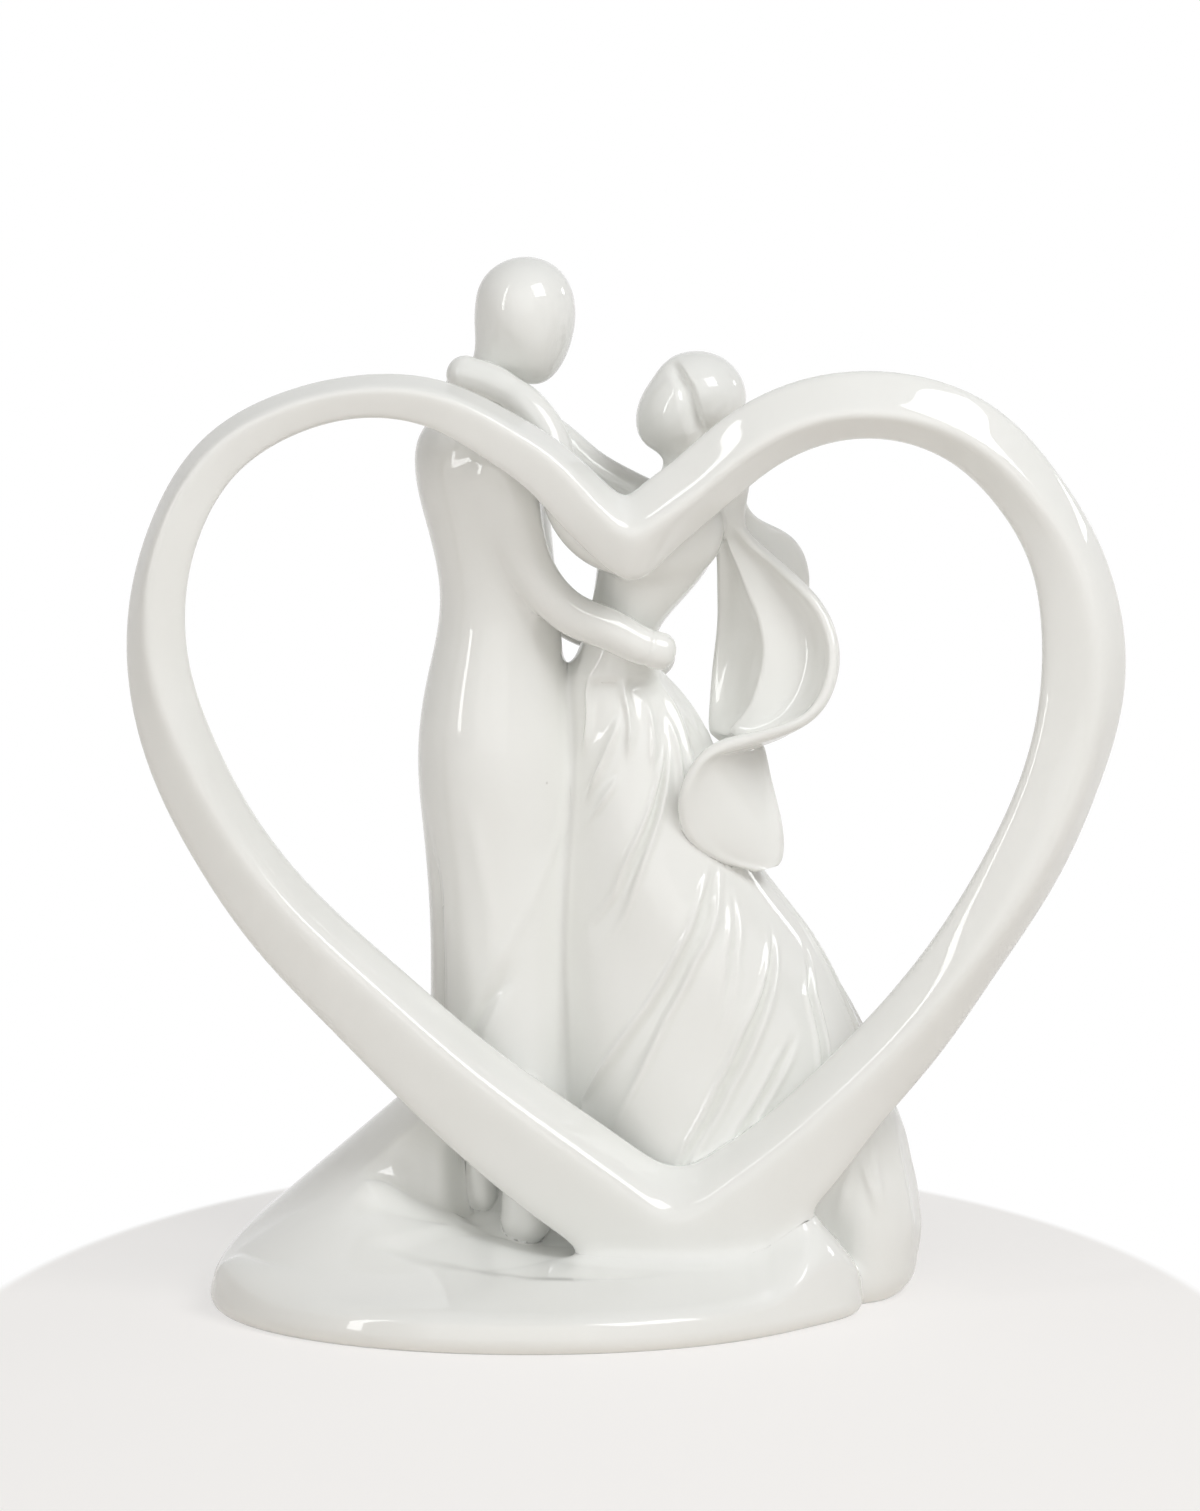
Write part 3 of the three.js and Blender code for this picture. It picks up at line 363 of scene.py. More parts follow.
# Folds of the coat: line, rise, half width, and start, end and length of both ends. They are the cut of the
# front on both sides, a crease, the split, the vent at the back and the chest.
COAT_CUT = [(70, -20), (63.8, -30), (53.5, -64), (44, -98)]
COAT_FOLDS = [
    (COAT_CUT, 0.22, 1.1, (42, 72, 6)),
    ([(height, -turn) for height, turn in COAT_CUT], 0.22, 1.1, (42, 72, 6)),
    ([(68, -110), (54, -96), (43, -93)], 0.2, 1.2, (42, 70, 8)),
    ([(46, -83), (43.5, -87), (41, -98), (37.3, -113), (30, -122), (20, -128)], -1, 1.3, (22, 48, 7)),
    ([(76, 92), (23, 92)], -0.5, 0.7, (-6, 76, 28)),
    ([(120, -30), (104, -40), (92, -58)], 0.35, 1, (88, 121, 8)),
]
# Bust: its height and turn, its spread over both, and how far it stands out.
BUST_PLACE = (101, -122)
BUST_SPREAD = (3.6, 26)
BUST_RISE = 0.8

# Rings of a skin and points on each ring.
ARM_GRID = (150, 56)
LEG_GRID = (60, 56)
NECK_GRID = (40, 48)
NAPE_GRID = (60, 48)
FRONT_RIBBON_GRID = (220, 56)
BACK_RIBBON_GRID = (90, 30)
GROOM_HEAD_GRID = (110, 120)
BRIDE_HEAD_GRID = (180, 200)
HAIR_GRID = (200, 220)
COAT_GRID = (260, 168)
BODICE_GRID = (80, 110)
TRAIN_GRID = (70, 150)
SKIRT_GRID = (220, 420)
BASE_GRID = (120, 360)
# Pieces that stand for a node of another name.
NODE_OF = {"groom_neck": "groom_head", "bride_neck": "bride_head", "bride_nape": "bride_hair"}

# How far the glaze rounds the corner where two pieces meet; SIDE stands for near and for far.
GLAZE_CORNERS = {
    "heart_ring": {
        "base": 3.4, "bride_skirt": 1.2, "bride_train": 1.4, "groom_near_arm": 0.8, "bride_near_arm": 3.2,
    },
    "groom_SIDE_arm": {"groom_body": 2.6, "bride_torso": 0.9, "bride_skirt": 0.9},
    "bride_SIDE_arm": {"bride_torso": 2, "groom_body": 1, "groom_neck": 0.8, "groom_SIDE_arm": 0.8},
    "groom_body": {"bride_skirt": 2.6, "bride_torso": 1, "base": 2.2},
    "groom_SIDE_leg": {"base": 0.6, "groom_body": 1},
    "bride_skirt": {"bride_torso": 1.4, "base": 2, "bride_train": 2.6},
    "bride_train": {"base": 2.2},
    "groom_neck": {"groom_head": 3, "groom_body": 2.6},
    "bride_neck": {"bride_head": 2, "bride_torso": 2.2},
    "bride_hair": {"bride_head": 1, "bride_nape": 2, "bride_neck": 0.8},
    "bride_nape": {"bride_torso": 1, "veil_front": 1.4, "veil_back": 1.2, "bride_neck": 1},
    "veil_front": {"veil_back": 0.8, "bride_skirt": 0.6, "bride_torso": 0.6},
}
# A point deeper than this inside a neighbour stays. A skin under a neighbour sinks by the seam's depth, in
# full from this share of the corner on.
GLAZE_DEPTH = 1.2
SEAM_DEPTH = 0.03
SEAM_SHARE = 0.5
# Search for the glaze's skin: most steps, longest step, reach to the own skin and past a neighbour's corner,
# error at which it ends, slopes too flat to go on and to divide by, farthest move, and what is on a skin.
GLAZE_STEPS = 10
GLAZE_STEP = 0.5
GLAZE_REACH = 6
GLAZE_SPARE = 1
GLAZE_ERROR = 0.004
GLAZE_FLAT = 1e-6
GLAZE_SLOPE = 0.2
GLAZE_MOVE = 2.5
ON_SKIN = 1e-4

# Porcelain: its tint by place on a cloudy noise, and the scale and detail of that noise.
PORCELAIN_IOR = 1.5
TINT = [(0.3, (0.872, 0.88, 0.855, 1)), (0.7, (0.894, 0.902, 0.882, 1))]
CLOUD = (55, 3)
# Glaze that pools in a hollow is greener, and darker there as painted shade in the hollows: the bend where it
# starts and is full, its share and colour.
POOL_SHADE_BEND = (0.5, 0.4)
POOL_SHADE_SHARE = (0, 0.55)
POOL_AND_SHADE_COLOUR = (0.8, 0.815, 0.765, 1)
# Specks: cells per metre, the share of cells that have none, a speck's edge in a cell, its share and colour.
SPECK_SCALE = 95
SPECK_FREE = 0.955
SPECK_EDGE = (0.026, 0.014)
SPECK_SHARE = (0, 0.3)
SPECK_COLOUR = (0.24, 0.22, 0.19, 1)
# Roughness of the glaze, and what the bare underside adds where it faces down at the ground.
GLAZE_ROUGHNESS = (0.02, 0.055)
BARE_FACING = (-0.9, -0.99)
BARE_ROUGHNESS = (0, 0.5)
BARE_LEVEL = 0.0004
# Faint waves in the glaze: scale and detail of their noise, strength and height.
WAVES = (190, 2)
WAVE_STRENGTH = 0.05
WAVE_HEIGHT = 0.0001

WHITE = (1, 1, 1, 1)
FLOOR_SIZE = 3
FLOOR_COLOUR = (0.92, 0.865, 0.815, 1)
FLOOR_ROUGHNESS = 0.85
FLOOR_SPECULAR = 0.2
# Pale round under the topper: middle, reach to the side as a share of that to the back and to the front, the
# edge where it turns white, and the share of white inside and outside.
FLOOR_MIDDLE = (-0.0039, -0.0456, 0)
FLOOR_SHARES = (0.605, 0.3)
FLOOR_EDGE = (0.0863, 0.0883)
FLOOR_WHITE = (0.6, 1)
WORLD_COLOUR = (1, 0.96, 0.9, 1)
WORLD_STRENGTH = 0.235
# Lamps: name, place, the point they face, width and height, power, and colour unless it is white.
LAMPS = [
    ("softbox", (0.4, -0.44, 0.635), (0, 0, 0.07), (0.39, 0.39), 3.25, (0.98, 0.99, 1)),
    ("strip", (-0.69, -0.5, 0.57), (0, 0, 0.57), (0.08, 0.96), 1.6),
    ("fill", (-0.15, -1.5, 0.62), (0, 0, 0.07), (1.5, 1.5), 4.6),
    ("back", (0.8, 0.4, 0.42), (0, 0, 0.07), (0.12, 0.12), 0.3),
]
CAMERA_PLACE = (-0.00352, -1, 0.2149)
CAMERA_PITCH = 8
CAMERA_LENS = 180.4
CAMERA_SENSOR = 36


def ease(value, low, high):
    """0 at low, 1 at high and a smooth change between them."""
    share = np.clip((value - low) / (high - low), 0, 1)
    return share * share * (3 - 2 * share)


def bell(value, width, power=2):
    return np.exp(-(value / width) ** power)


def unit(vectors):
    return vectors / np.linalg.norm(vectors, axis=-1, keepdims=True)


def running(steps):
    """Sums of the steps so far, from 0."""
    return np.concatenate([[0.0], np.cumsum(steps)])


def full_turn(count):
    return np.linspace(0, 2 * np.pi, count, endpoint=False)


def quarter_turn(steps):
    """Angles of a quarter round without its ends."""
    return np.linspace(0, np.pi / 2, steps + 1)[1:-1]


def spline(knots, rows):
    """Natural cubic curve through rows of numbers at rising knots."""
    knots = np.asarray(knots, float)
    rows = np.asarray(rows, float).reshape(len(knots), -1)
    count = len(knots)
    gaps = np.diff(knots)
    matrix = np.eye(count)
    right = np.zeros_like(rows)
    for i in range(1, count - 1):
        matrix[i, i - 1:i + 2] = gaps[i - 1], 2 * (gaps[i - 1] + gaps[i]), gaps[i]
        right[i] = 6 * ((rows[i + 1] - rows[i]) / gaps[i] - (rows[i] - rows[i - 1]) / gaps[i - 1])
    bends = np.linalg.solve(matrix, right)

    def at(value):
        value = np.atleast_1d(np.asarray(value, float))
        i = np.clip(np.searchsorted(knots, value, side="right") - 1, 0, count - 2)
        gap = gaps[i][:, None]
        a = (knots[i + 1] - value)[:, None] / gap
        b = 1.0 - a
        curve = ((a ** 3 - a) * bends[i] + (b ** 3 - b) * bends[i + 1]) * gap ** 2 / 6
        return a * rows[i] + b * rows[i + 1] + curve

    return at


def chord_spline(points):
    """Cubic curve through points, from 0 at the first to 1 at the last by length."""
    points = np.asarray(points, float)
    knots = running(np.linalg.norm(np.diff(points[:, :3], axis=0), axis=1))
    return spline(knots / knots[-1], points)


def mesh_of(rings, closed=False):
    """Vertices and faces of a closed skin over rings of points; open ends close in a pole."""
    rings = np.asarray(rings, float)
    rows, count = rings.shape[:2]
    verts = rings.reshape(-1, 3)
    index = np.arange(rows * count).reshape(rows, count)
    beside = np.roll(index, -1, axis=1)
    quads = np.stack([index, beside, np.roll(beside, -1, axis=0), np.roll(index, -1, axis=0)], axis=-1)
    quads = (quads if closed else quads[:-1]).reshape(-1, 4)
    faces = quads.tolist()
    if not closed:
        first, last = len(verts), len(verts) + 1
        verts = np.concatenate([verts, rings[0].mean(axis=0)[None], rings[-1].mean(axis=0)[None]])
        top = (rows - 1) * count
        faces += [[first, (i + 1) % count, i] for i in range(count)]
        faces += [[last, top + i, top + (i + 1) % count] for i in range(count)]
    a, b, c, d = (verts[quads[:, i]] for i in range(4))
    volume = sum(np.einsum("ij,ij->i", a, np.cross(*side)).sum() for side in ((b, c), (c, d)))
    if volume < 0:
        faces = [face[::-1] for face in faces]
    return verts, faces


def column(levels, place, setback, grid, dent, rounding=BODY_ROUNDING):
    """Upright body of oval sections. dent(height, turn, mm per degree) moves the skin out."""
    levels = np.asarray(levels, float)
    rows, count = grid
    top, foot = rounding
    low, high = levels[0, 0], levels[-1, 0]
    heights = np.linspace(low, high, rows)
    turn = full_turn(count)[None, :]
    quarter = quarter_turn(BODY_ROUNDING_STEPS)
    ends = low + foot * (1 - np.cos(quarter)), high + top * np.sin(quarter)
    z = np.concatenate([ends[0], heights[heights > low + foot], ends[1]])
    shrink = np.ones_like(z)
    shrink[-len(quarter):] = np.cos(quarter)
    inset = np.zeros_like(z)
    inset[:len(quarter)] = foot * (1 - np.sin(quarter))
    sizes = spline(levels[:, 0], levels[:, 1:])(np.clip(z, low, high))
    across = (np.maximum(sizes[:, 1] / 2 - inset, LEAST_HALF) * shrink)[:, None]
    deep = (np.maximum(sizes[:, 2] / 2 - inset, LEAST_HALF) * shrink)[:, None]
    nx, ny = np.cos(turn) / across, np.sin(turn) / deep
    length = np.hypot(nx, ny)
    out = dent(z[:, None], turn, np.radians(1) * np.sqrt(across * deep)) * shrink[:, None]
    x = place + sizes[:, :1] + across * np.cos(turn) + out * nx / length
    y = setback + deep * np.sin(turn) + out * ny / length
    return mesh_of(np.stack([x, y, np.broadcast_to(z[:, None], x.shape)], axis=-1))


def wrapped(turn, line):
    """Turn past a line in degrees, from -180 to 180."""
    return (np.degrees(turn) - line + 180) % 360 - 180


def line_at(points, height):
    """Turn of a line at a height."""
    return np.interp(height, *zip(*sorted(points)))


def fade(height, low, high, *ends):
    """1 between two heights, run out over the lengths of both ends, or over one length for both."""
    return ease(height, low, low + ends[0]) * (1 - ease(height, high - ends[-1], high))


def raised(folds, height, turn, per_degree, ends):
    """Rise of narrow folds along their lines."""
    out = 0.0
    for line, half, rise in folds:
        past = np.abs(wrapped(turn, line_at(line, height)) * per_degree)
        run = fade(height, line[-1][0], line[0][0] + FOLD_START, ends)
        out = out + rise * run * bell(past, half, FOLD_POWER)
    return out


def channels():
    """Both lines of each channel, with its depth."""
    even = [([row[:2] for row in rows], [row[::2] for row in rows], depth) for rows, depth in EVEN_CHANNELS]
    return SKIRT_CHANNELS + even


def skirt_dent(height, turn, per_degree):
    waves = np.cos(SKIRT_WAVES * (turn + SKIRT_WAVE_TWIST * height))
    out = SKIRT_WAVE_HEIGHT * waves * ease(height, *SKIRT_WAVE_GROWTH)
    share, least = CHANNEL_WALL
    for first, second, depth in channels():
        low = min(first[-1][0], second[-1][0])
        high = max(first[0][0], second[0][0])
        start, stop = line_at(first, height), line_at(second, height)
        past = wrapped(turn, start) * per_degree
        short = -wrapped(turn, stop) * per_degree
        wall = share * (stop - start) * per_degree + least
        trough = ease(past, 0, wall) * ease(short, 0, wall)
        lips = bell(past, CHANNEL_LIP_HALF) + bell(short, CHANNEL_LIP_HALF)
        run = fade(height, low, high, *CHANNEL_ENDS)
        out = out + CHANNEL_DEPTH * depth * run * (CHANNEL_LIP * lips - trough)
    return out + GATHER_HEIGHT * raised(SKIRT_GATHERS, height, turn, per_degree, GATHER_ENDS)


def coat_dent(height, turn, per_degree):
    out = 0.0
    soft, sharp = TAIL_HALF
    for side, line in COAT_TAILS:
        past = side * wrapped(turn, line_at(line, height)) * per_degree
        groove = np.where(past < 0, bell(past + TAIL_SHIFT, soft), bell(past, sharp))
        out = out - TAIL_DEPTH * fade(height, *TAIL_RUN) * groove
    for line, rise, half, run in COAT_FOLDS:
        past = wrapped(turn, line_at(line, height)) * per_degree
        out = out + rise * fade(height, *run) * bell(past, half)
    return out


def bodice_dent(height, turn, _):
    up = bell(height - BUST_PLACE[0], BUST_SPREAD[0])
    return BUST_RISE * (up * bell(wrapped(turn, BUST_PLACE[1]), BUST_SPREAD[1]))


def train_dent(height, turn, per_degree):
    return raised(TRAIN_FOLDS, height, turn, per_degree, TRAIN_ENDS)


def limb_steps(stations):
    """Rows of one limb at even steps, with the way ahead and the length walked."""
    rows = np.array(stations, float)
    rows[:, 0] = HEART_PLACE[0] + rows[:, 0] * HEART_SPAN / 2
    rows[:, 1] = HEART_PLACE[2] + rows[:, 1] * HEART_RISE
    knots = running(np.hypot(*np.diff(rows[:, :2], axis=0).T))
    fine = spline(knots, rows)(np.linspace(0, knots[-1], HEART_FINE_STEPS))
    walked = running(np.hypot(*np.diff(fine[:, :2], axis=0).T))
    even = np.linspace(0, walked[-1], int(round(walked[-1] / HEART_STEP)) + 1)
    at = np.stack([np.interp(even, walked, part) for part in fine.T], axis=1)
    return at, unit(np.gradient(at[:, :2], axis=0)), even


def heart_section(width, depth, ridge, rounding):
    """Four-sided section with rounded corners, walked from the front ridge: outward and backward."""
    half, deep = width / 2, depth / 2
    count = HEART_COUNT
    front, outer = ridge * half - 1j * deep, half + 1j * (RIDGE_SWING * ridge * deep)
    corners = np.array([front, outer, -front, -outer])
    walk = running(np.abs(np.roll(corners, -1) - corners))
    spot = np.linspace(0, walk[-1], count, endpoint=False)
    loop = np.append(corners, corners[0])
    skin = np.interp(spot, walk, loop.real) + 1j * np.interp(spot, walk, loop.imag)
    waves = np.fft.fftfreq(count, 1.0 / count)
    skin = np.fft.ifft(np.fft.fft(skin) * np.exp(-0.5 * (waves * rounding) ** 2))
    return skin.real * half / np.abs(skin.real).max(), skin.imag * deep / np.abs(skin.imag).max()


def rounded_along(rings, radii):
    """Rings smoothed along the bar, each line of points by its own radius."""
    waves = 2 * np.pi * np.fft.fftfreq(len(rings), HEART_STEP)
    keep = np.exp(-0.5 * (waves[:, None] * radii[None, :]) ** 2)
    return np.fft.ifft(np.fft.fft(rings, axis=0) * keep[..., None], axis=0).real


def heart_bar():
    limbs = [limb_steps(LEFT_LIMB), limb_steps(RIGHT_LIMB)]
    outward = [np.stack([ahead[:, 1], -ahead[:, 0]], axis=1) for _, ahead, _ in limbs]
    cleft_cut = outward[0][0] + outward[1][-1]
    foot_cut = outward[0][-1] + outward[1][0]
    cuts = (cleft_cut, foot_cut), (foot_cut, cleft_cut)
    rings = []
    shares = []
    for (at, ahead, walked), out, (first, last) in zip(limbs, outward, cuts):
        slant = first @ ahead[0] / (first @ out[0]) * (1 - ease(walked, 0, MITRE_REACH))
        end = walked[-1]
        slant = slant + last @ ahead[-1] / (last @ out[-1]) * ease(walked, end - MITRE_REACH, end)
        across = out + ahead * slant[:, None]
        for row, way in zip(at, across):
            u, v = heart_section(*row[2:])
            rings.append(np.stack([row[0] + way[0] * u, HEART_PLACE[1] + v, row[1] + way[1] * u], axis=1))
            shares.append(u * 2 / row[2])
    rings, shares = np.array(rings), np.array(shares)
    foot = len(limbs[0][0]) - 1
    rings[foot] = (rings[foot] + rings[foot + 1]) / 2
    rings[0] = (rings[0] + rings[-1]) / 2
    rings = np.delete(rings, [foot + 1, len(rings) - 1], axis=0)
    place = np.arange(len(rings)) * HEART_STEP
    length = len(rings) * HEART_STEP
    inner, outer = CLEFT_ROUNDING
    at_ridge, at_inner = FOOT_ROUNDING
    cleft_radii = inner + (outer - inner) * (1 + shares[0]) / 2
    foot_radii = at_ridge + (at_inner - at_ridge) * ease(-shares[foot], *FOOT_INNER_EDGE)
    from_cleft = np.minimum(place, length - place)
    from_foot = np.abs(place - foot * HEART_STEP)
    result = rings.copy()
    for away, radii in ((from_cleft, cleft_radii), (from_foot, foot_radii)):
        kept = bell(away, MITRE_REACH)[:, None, None]
        result += kept * (rounded_along(rings, radii) - rings)
    return mesh_of(result, closed=True)


def tube(points, grid, flat=1.0, crease=None, cap=1.0):
    """Round limb through points with diameters; flat squeezes it from front to back, cap its round ends."""
    rows, count = grid
    curve = chord_spline(points)
    share = np.linspace(0, 1, rows)
    at = curve(share)
    ahead = curve(np.clip(share + LIMB_NUDGE, 0, 1)) - curve(np.clip(share - LIMB_NUDGE, 0, 1))
    ahead = unit(ahead[:, :3])
    side = unit(np.array([0, 1, 0]) - ahead * ahead[:, 1:2])
    over = np.cross(ahead, side)
    radius = at[:, 3] / 2
    if crease is not None:
        place, width, depth = crease
        length = np.linalg.norm(np.diff(at[:, :3], axis=0), axis=1).sum()
        radius = radius - depth * bell((1 - share) * length - place, width)
    turn = full_turn(count)
    quarter = quarter_turn(LIMB_END_STEPS)
    tilt = np.concatenate([-quarter[::-1], np.zeros(rows), quarter])
    pick = np.clip(np.arange(len(tilt)) - len(quarter), 0, rows - 1)
    centre = at[pick, :3] + ahead[pick] * (cap * radius[pick] * np.sin(tilt))[:, None]
    size = radius[pick] * np.cos(tilt)
    deep = (size[:, None] * flat * np.cos(turn))[..., None]
    high = (size[:, None] * np.sin(turn))[..., None]
    return mesh_of(centre[:, None] + deep * side[pick][:, None] + high * over[pick][:, None])


def far_side(points):
    return [(x, 2 * COUPLE_SETBACK - y, z - FAR_ARM_DROP, size) for x, y, z, size in points]


def egg(head, grid, push=None):
    """Smooth head. push(skin) moves its skin along the way from its centre."""
    centre, length, width, depth, taper, lean = head
    rows, count = grid
    lean = math.radians(lean)
    axis = np.array([-math.sin(lean), 0, math.cos(lean)])
    side = np.array([math.cos(lean), 0, math.sin(lean)])
    deep = np.array([0, 1, 0])
    turn = np.linspace(0, np.pi, rows + 2)[1:-1, None]
    angle = full_turn(count)[None, :]
    up = -np.cos(turn)
    share = np.sin(turn) * (1 + taper * up)
    across = width / 2 * share * np.cos(angle)
    back = depth / 2 * share * np.sin(angle)
    tall = length / 2 * up + 0 * angle
    away = across[..., None] * side + back[..., None] * deep + tall[..., None] * axis
    skin = np.asarray(centre) + away
    if push is not None:
        skin = skin + push(skin)[..., None] * unit(away)
    return mesh_of(skin)


def behind_hairline(skin):
    """Distance of the skin's points behind the hairline."""
    heights, places = zip(*HAIRLINE)
    line = spline(heights, places)(np.clip(skin[..., 2], heights[0], heights[-1]).ravel())
    return HAIR_LEAN * (skin[..., 0] - line.reshape(skin.shape[:-1]))


def from_crown(skin):
    """0 along the middle of the crown, 1 on the sides of the head."""
    return ease(np.abs(skin[..., 1] - COUPLE_SETBACK), *HAIR_CROWN)


def hair_push(skin):
    """The hair's edge turns in at the hairline, less so over the crown."""
    return -HAIR_TURN_IN * from_crown(skin) * (1 - ease(behind_hairline(skin), *HAIR_EDGE))


def head_push(skin):
    """The face draws in beside the hair and under it."""
    behind = behind_hairline(skin)
    groove = HAIR_GROOVE * from_crown(skin) * ease(behind, *HAIR_GROOVE_EDGE)
    return -groove - HAIR_COVER * ease(behind, *HAIR_COVER_EDGE)


def scoops(share, crest, rise, first, second):
    """Dip of a ribbon between its edges: two scoops that meet in a crest."""
    left = np.clip(share / crest, 0, 1)
    right = np.clip((share - crest) / (1 - crest), 0, 1)
    stand = rise * np.where(share < crest, left, 1 - right)
    return first * np.sin(np.pi * left) + second * np.sin(np.pi * right) - stand


def ribbon(edges, grid):
    """Sheet between two edges, with rolled rims and two scoops."""
    rows, across = grid
    knots = np.linspace(0, 1, len(edges))
    edges = np.array(edges)
    edge_a = spline(knots, NAPE + edges[:, :3])
    edge_b = spline(knots, NAPE + edges[:, 3:6])
    forms = spline(knots, edges[:, 6:])
    share = np.linspace(0, 1, rows)
    before, after = np.clip(share - VEIL_NUDGE, 0, 1), np.clip(share + VEIL_NUDGE, 0, 1)
    ahead = edge_a(after) - edge_a(before) + edge_b(after) - edge_b(before)
    a, over = edge_a(share), edge_b(share) - edge_a(share)
    wide = np.linalg.norm(over, axis=1)
    face = unit(np.cross(over, ahead))
    over /= wide[:, None]
    turn = np.linspace(0, np.pi, VEIL_ROLL_POINTS)
    inner = np.linspace(0, 1, across)[1:-1]
    half = VEIL_THICKNESS / 2
    roll = half + VEIL_ROLL
    roll_side, roll_stand = roll * np.sin(turn), roll * np.cos(turn)
    loops = []
    for k, (crest, *form) in enumerate(forms(share)):
        dip = scoops(inner, np.clip(crest, *CREST_LIMITS), *form)
        edge = np.minimum(inner, 1 - inner) * wide[k]
        thick = half + VEIL_ROLL * bell(edge, VEIL_ROLL_WIDTH)
        place = inner * wide[k]
        side = np.concatenate([-roll_side, place, wide[k] + roll_side, place[::-1]])
        stand = np.concatenate([-roll_stand, dip + thick, roll_stand, (dip - thick)[::-1]])
        loops.append(a[k] + side[:, None] * over[k] + stand[:, None] * face[k])
    return mesh_of(loops)


def rim_point(turn):
    out, place, spread = LIP_BULGE
    bulge = out * bell(wrapped(turn, place), spread)
    x = BASE_CENTRE + (BASE_SIZE[0] / 2 + bulge) * np.cos(turn)
    return np.stack([x, BASE_SIZE[1] / 2 * np.sin(turn)], axis=-1)


def soft_max(a, b, size):
    """The larger of two heights, with their corner rounded."""
    share = np.clip(0.5 + 0.5 * (a - b) / size, 0, 1)
    return a * share + b * (1 - share) + size * share * (1 - share)


def base_top(x, y, share):
    """Height of the foot's top; share runs from 0 at the slope's top to 1 at the rim."""
    crown = 1 - share ** CROWN_FALL
    low = BASE_RIM + (BASE_CROWN - BASE_RIM) * crown
    low = low + BASE_BACK_RISE * ease(y, *BASE_BACK) * (1 - share ** BACK_FALL)
    apron = ease(-x, *APRON_SIDE) * ease(y, *APRON_FRONT) * (1 - ease(y, *APRON_BACK))
    low = low + APRON_RISE * apron * crown
    slope = SLOPE_HEIGHT * (1 - np.hypot(x - SLOPE_TOP[0], y - SLOPE_TOP[1]) / SLOPE_REACH)
    ramp = soft_max(low, slope, SLOPE_BLEND)
    into = y - spline(*zip(*HOLLOW_LINE))(x)[:, 0]
    kept = np.maximum(ease(into, *HOLLOW_EDGE), ease(-x, *HOLLOW_END))
    from_x, from_y = x - LEDGE_END[0], y - LEDGE_END[1]
    along = from_x * LEDGE_WAY[0] + from_y * LEDGE_WAY[1]
    inward = from_x * LEDGE_WAY[1] - from_y * LEDGE_WAY[0]
    ledge = np.minimum(LEDGE_HEIGHT + LEDGE_CLIMB * along, ramp)
    ledge = np.maximum(0, ledge - low) * ease(inward, *LEDGE_EDGE) * ease(along, *LEDGE_START)
    height = low + ledge + np.maximum(0, ramp - low - ledge) * kept
    far_edge, near_edge = (np.interp(x, *zip(*line)) for line in (POOL_FAR, POOL_NEAR))
    pool = ease(far_edge - y, *POOL_EDGES[0]) * ease(y - near_edge, *POOL_EDGES[1])
    height = height - POOL_DEPTH * pool * (1 - ease(x, *POOL_END))
    lip = np.interp(x, *zip(*LIP_TOP))
    spread = np.where(y < LIP_LINE, LIP_SPREAD[0], LIP_SPREAD[1])
    return height + np.maximum(0, lip - height) * bell(y - LIP_LINE, spread)


def base_foot():
    rows, count = BASE_GRID
    turn = full_turn(count)
    rim = rim_point(turn)
    middle = np.array(SLOPE_TOP)
    toward = rim - middle
    reach = np.linalg.norm(toward, axis=1)[:, None]
    toward = toward / reach

    def flat_ring(inset, height):
        spot = rim - toward * inset
        return np.concatenate([spot, np.full((count, 1), height)], axis=1)

    rings = [flat_ring(inset, height) for inset, height in FOOT_PROFILE]
    on_right, on_left = RIM_EDGE
    edge = (on_right + (on_left - on_right) * ease(-rim[:, 0], *RIM_EDGE_LEFT))[:, None]
    for share in 1 - np.linspace(0, 1, rows, endpoint=False) ** RING_CROWDING:
        spot = middle + toward * ((reach - TOP_INSET) * share)
        inset = (reach - TOP_INSET) * (1 - share)
        drop = edge - np.sqrt(np.clip(edge ** 2 - (edge - inset) ** 2, 0, None))
        drop = RIM_DROP * np.where(inset < edge, drop, 0)
        height = base_top(spot[:, 0], spot[:, 1], share) - drop[:, 0]
        rings.append(np.concatenate([spot, height[:, None]], axis=1))
    return mesh_of(rings)


def leg(x, y, foot, size, shoe):
    """Trouser leg that ends in a round shoe on the base."""
    low = foot + shoe / 2
    middle, high = (low + height for height in SHOE_HEIGHTS)
    levels = [(low, shoe), (middle, (size + shoe) / 2), (high, size), (LEG_TOP, size)]
    return tube([(x, y, *level) for level in levels], LEG_GRID)


def neck(foot, top, size):
    middle = tuple((a + b) / 2 for a, b in zip(foot, top))
    at_foot, at_top = NECK_FLARE
    return tube([(*foot, size * at_foot), (*middle, size), (*top, size * at_top)], NECK_GRID)


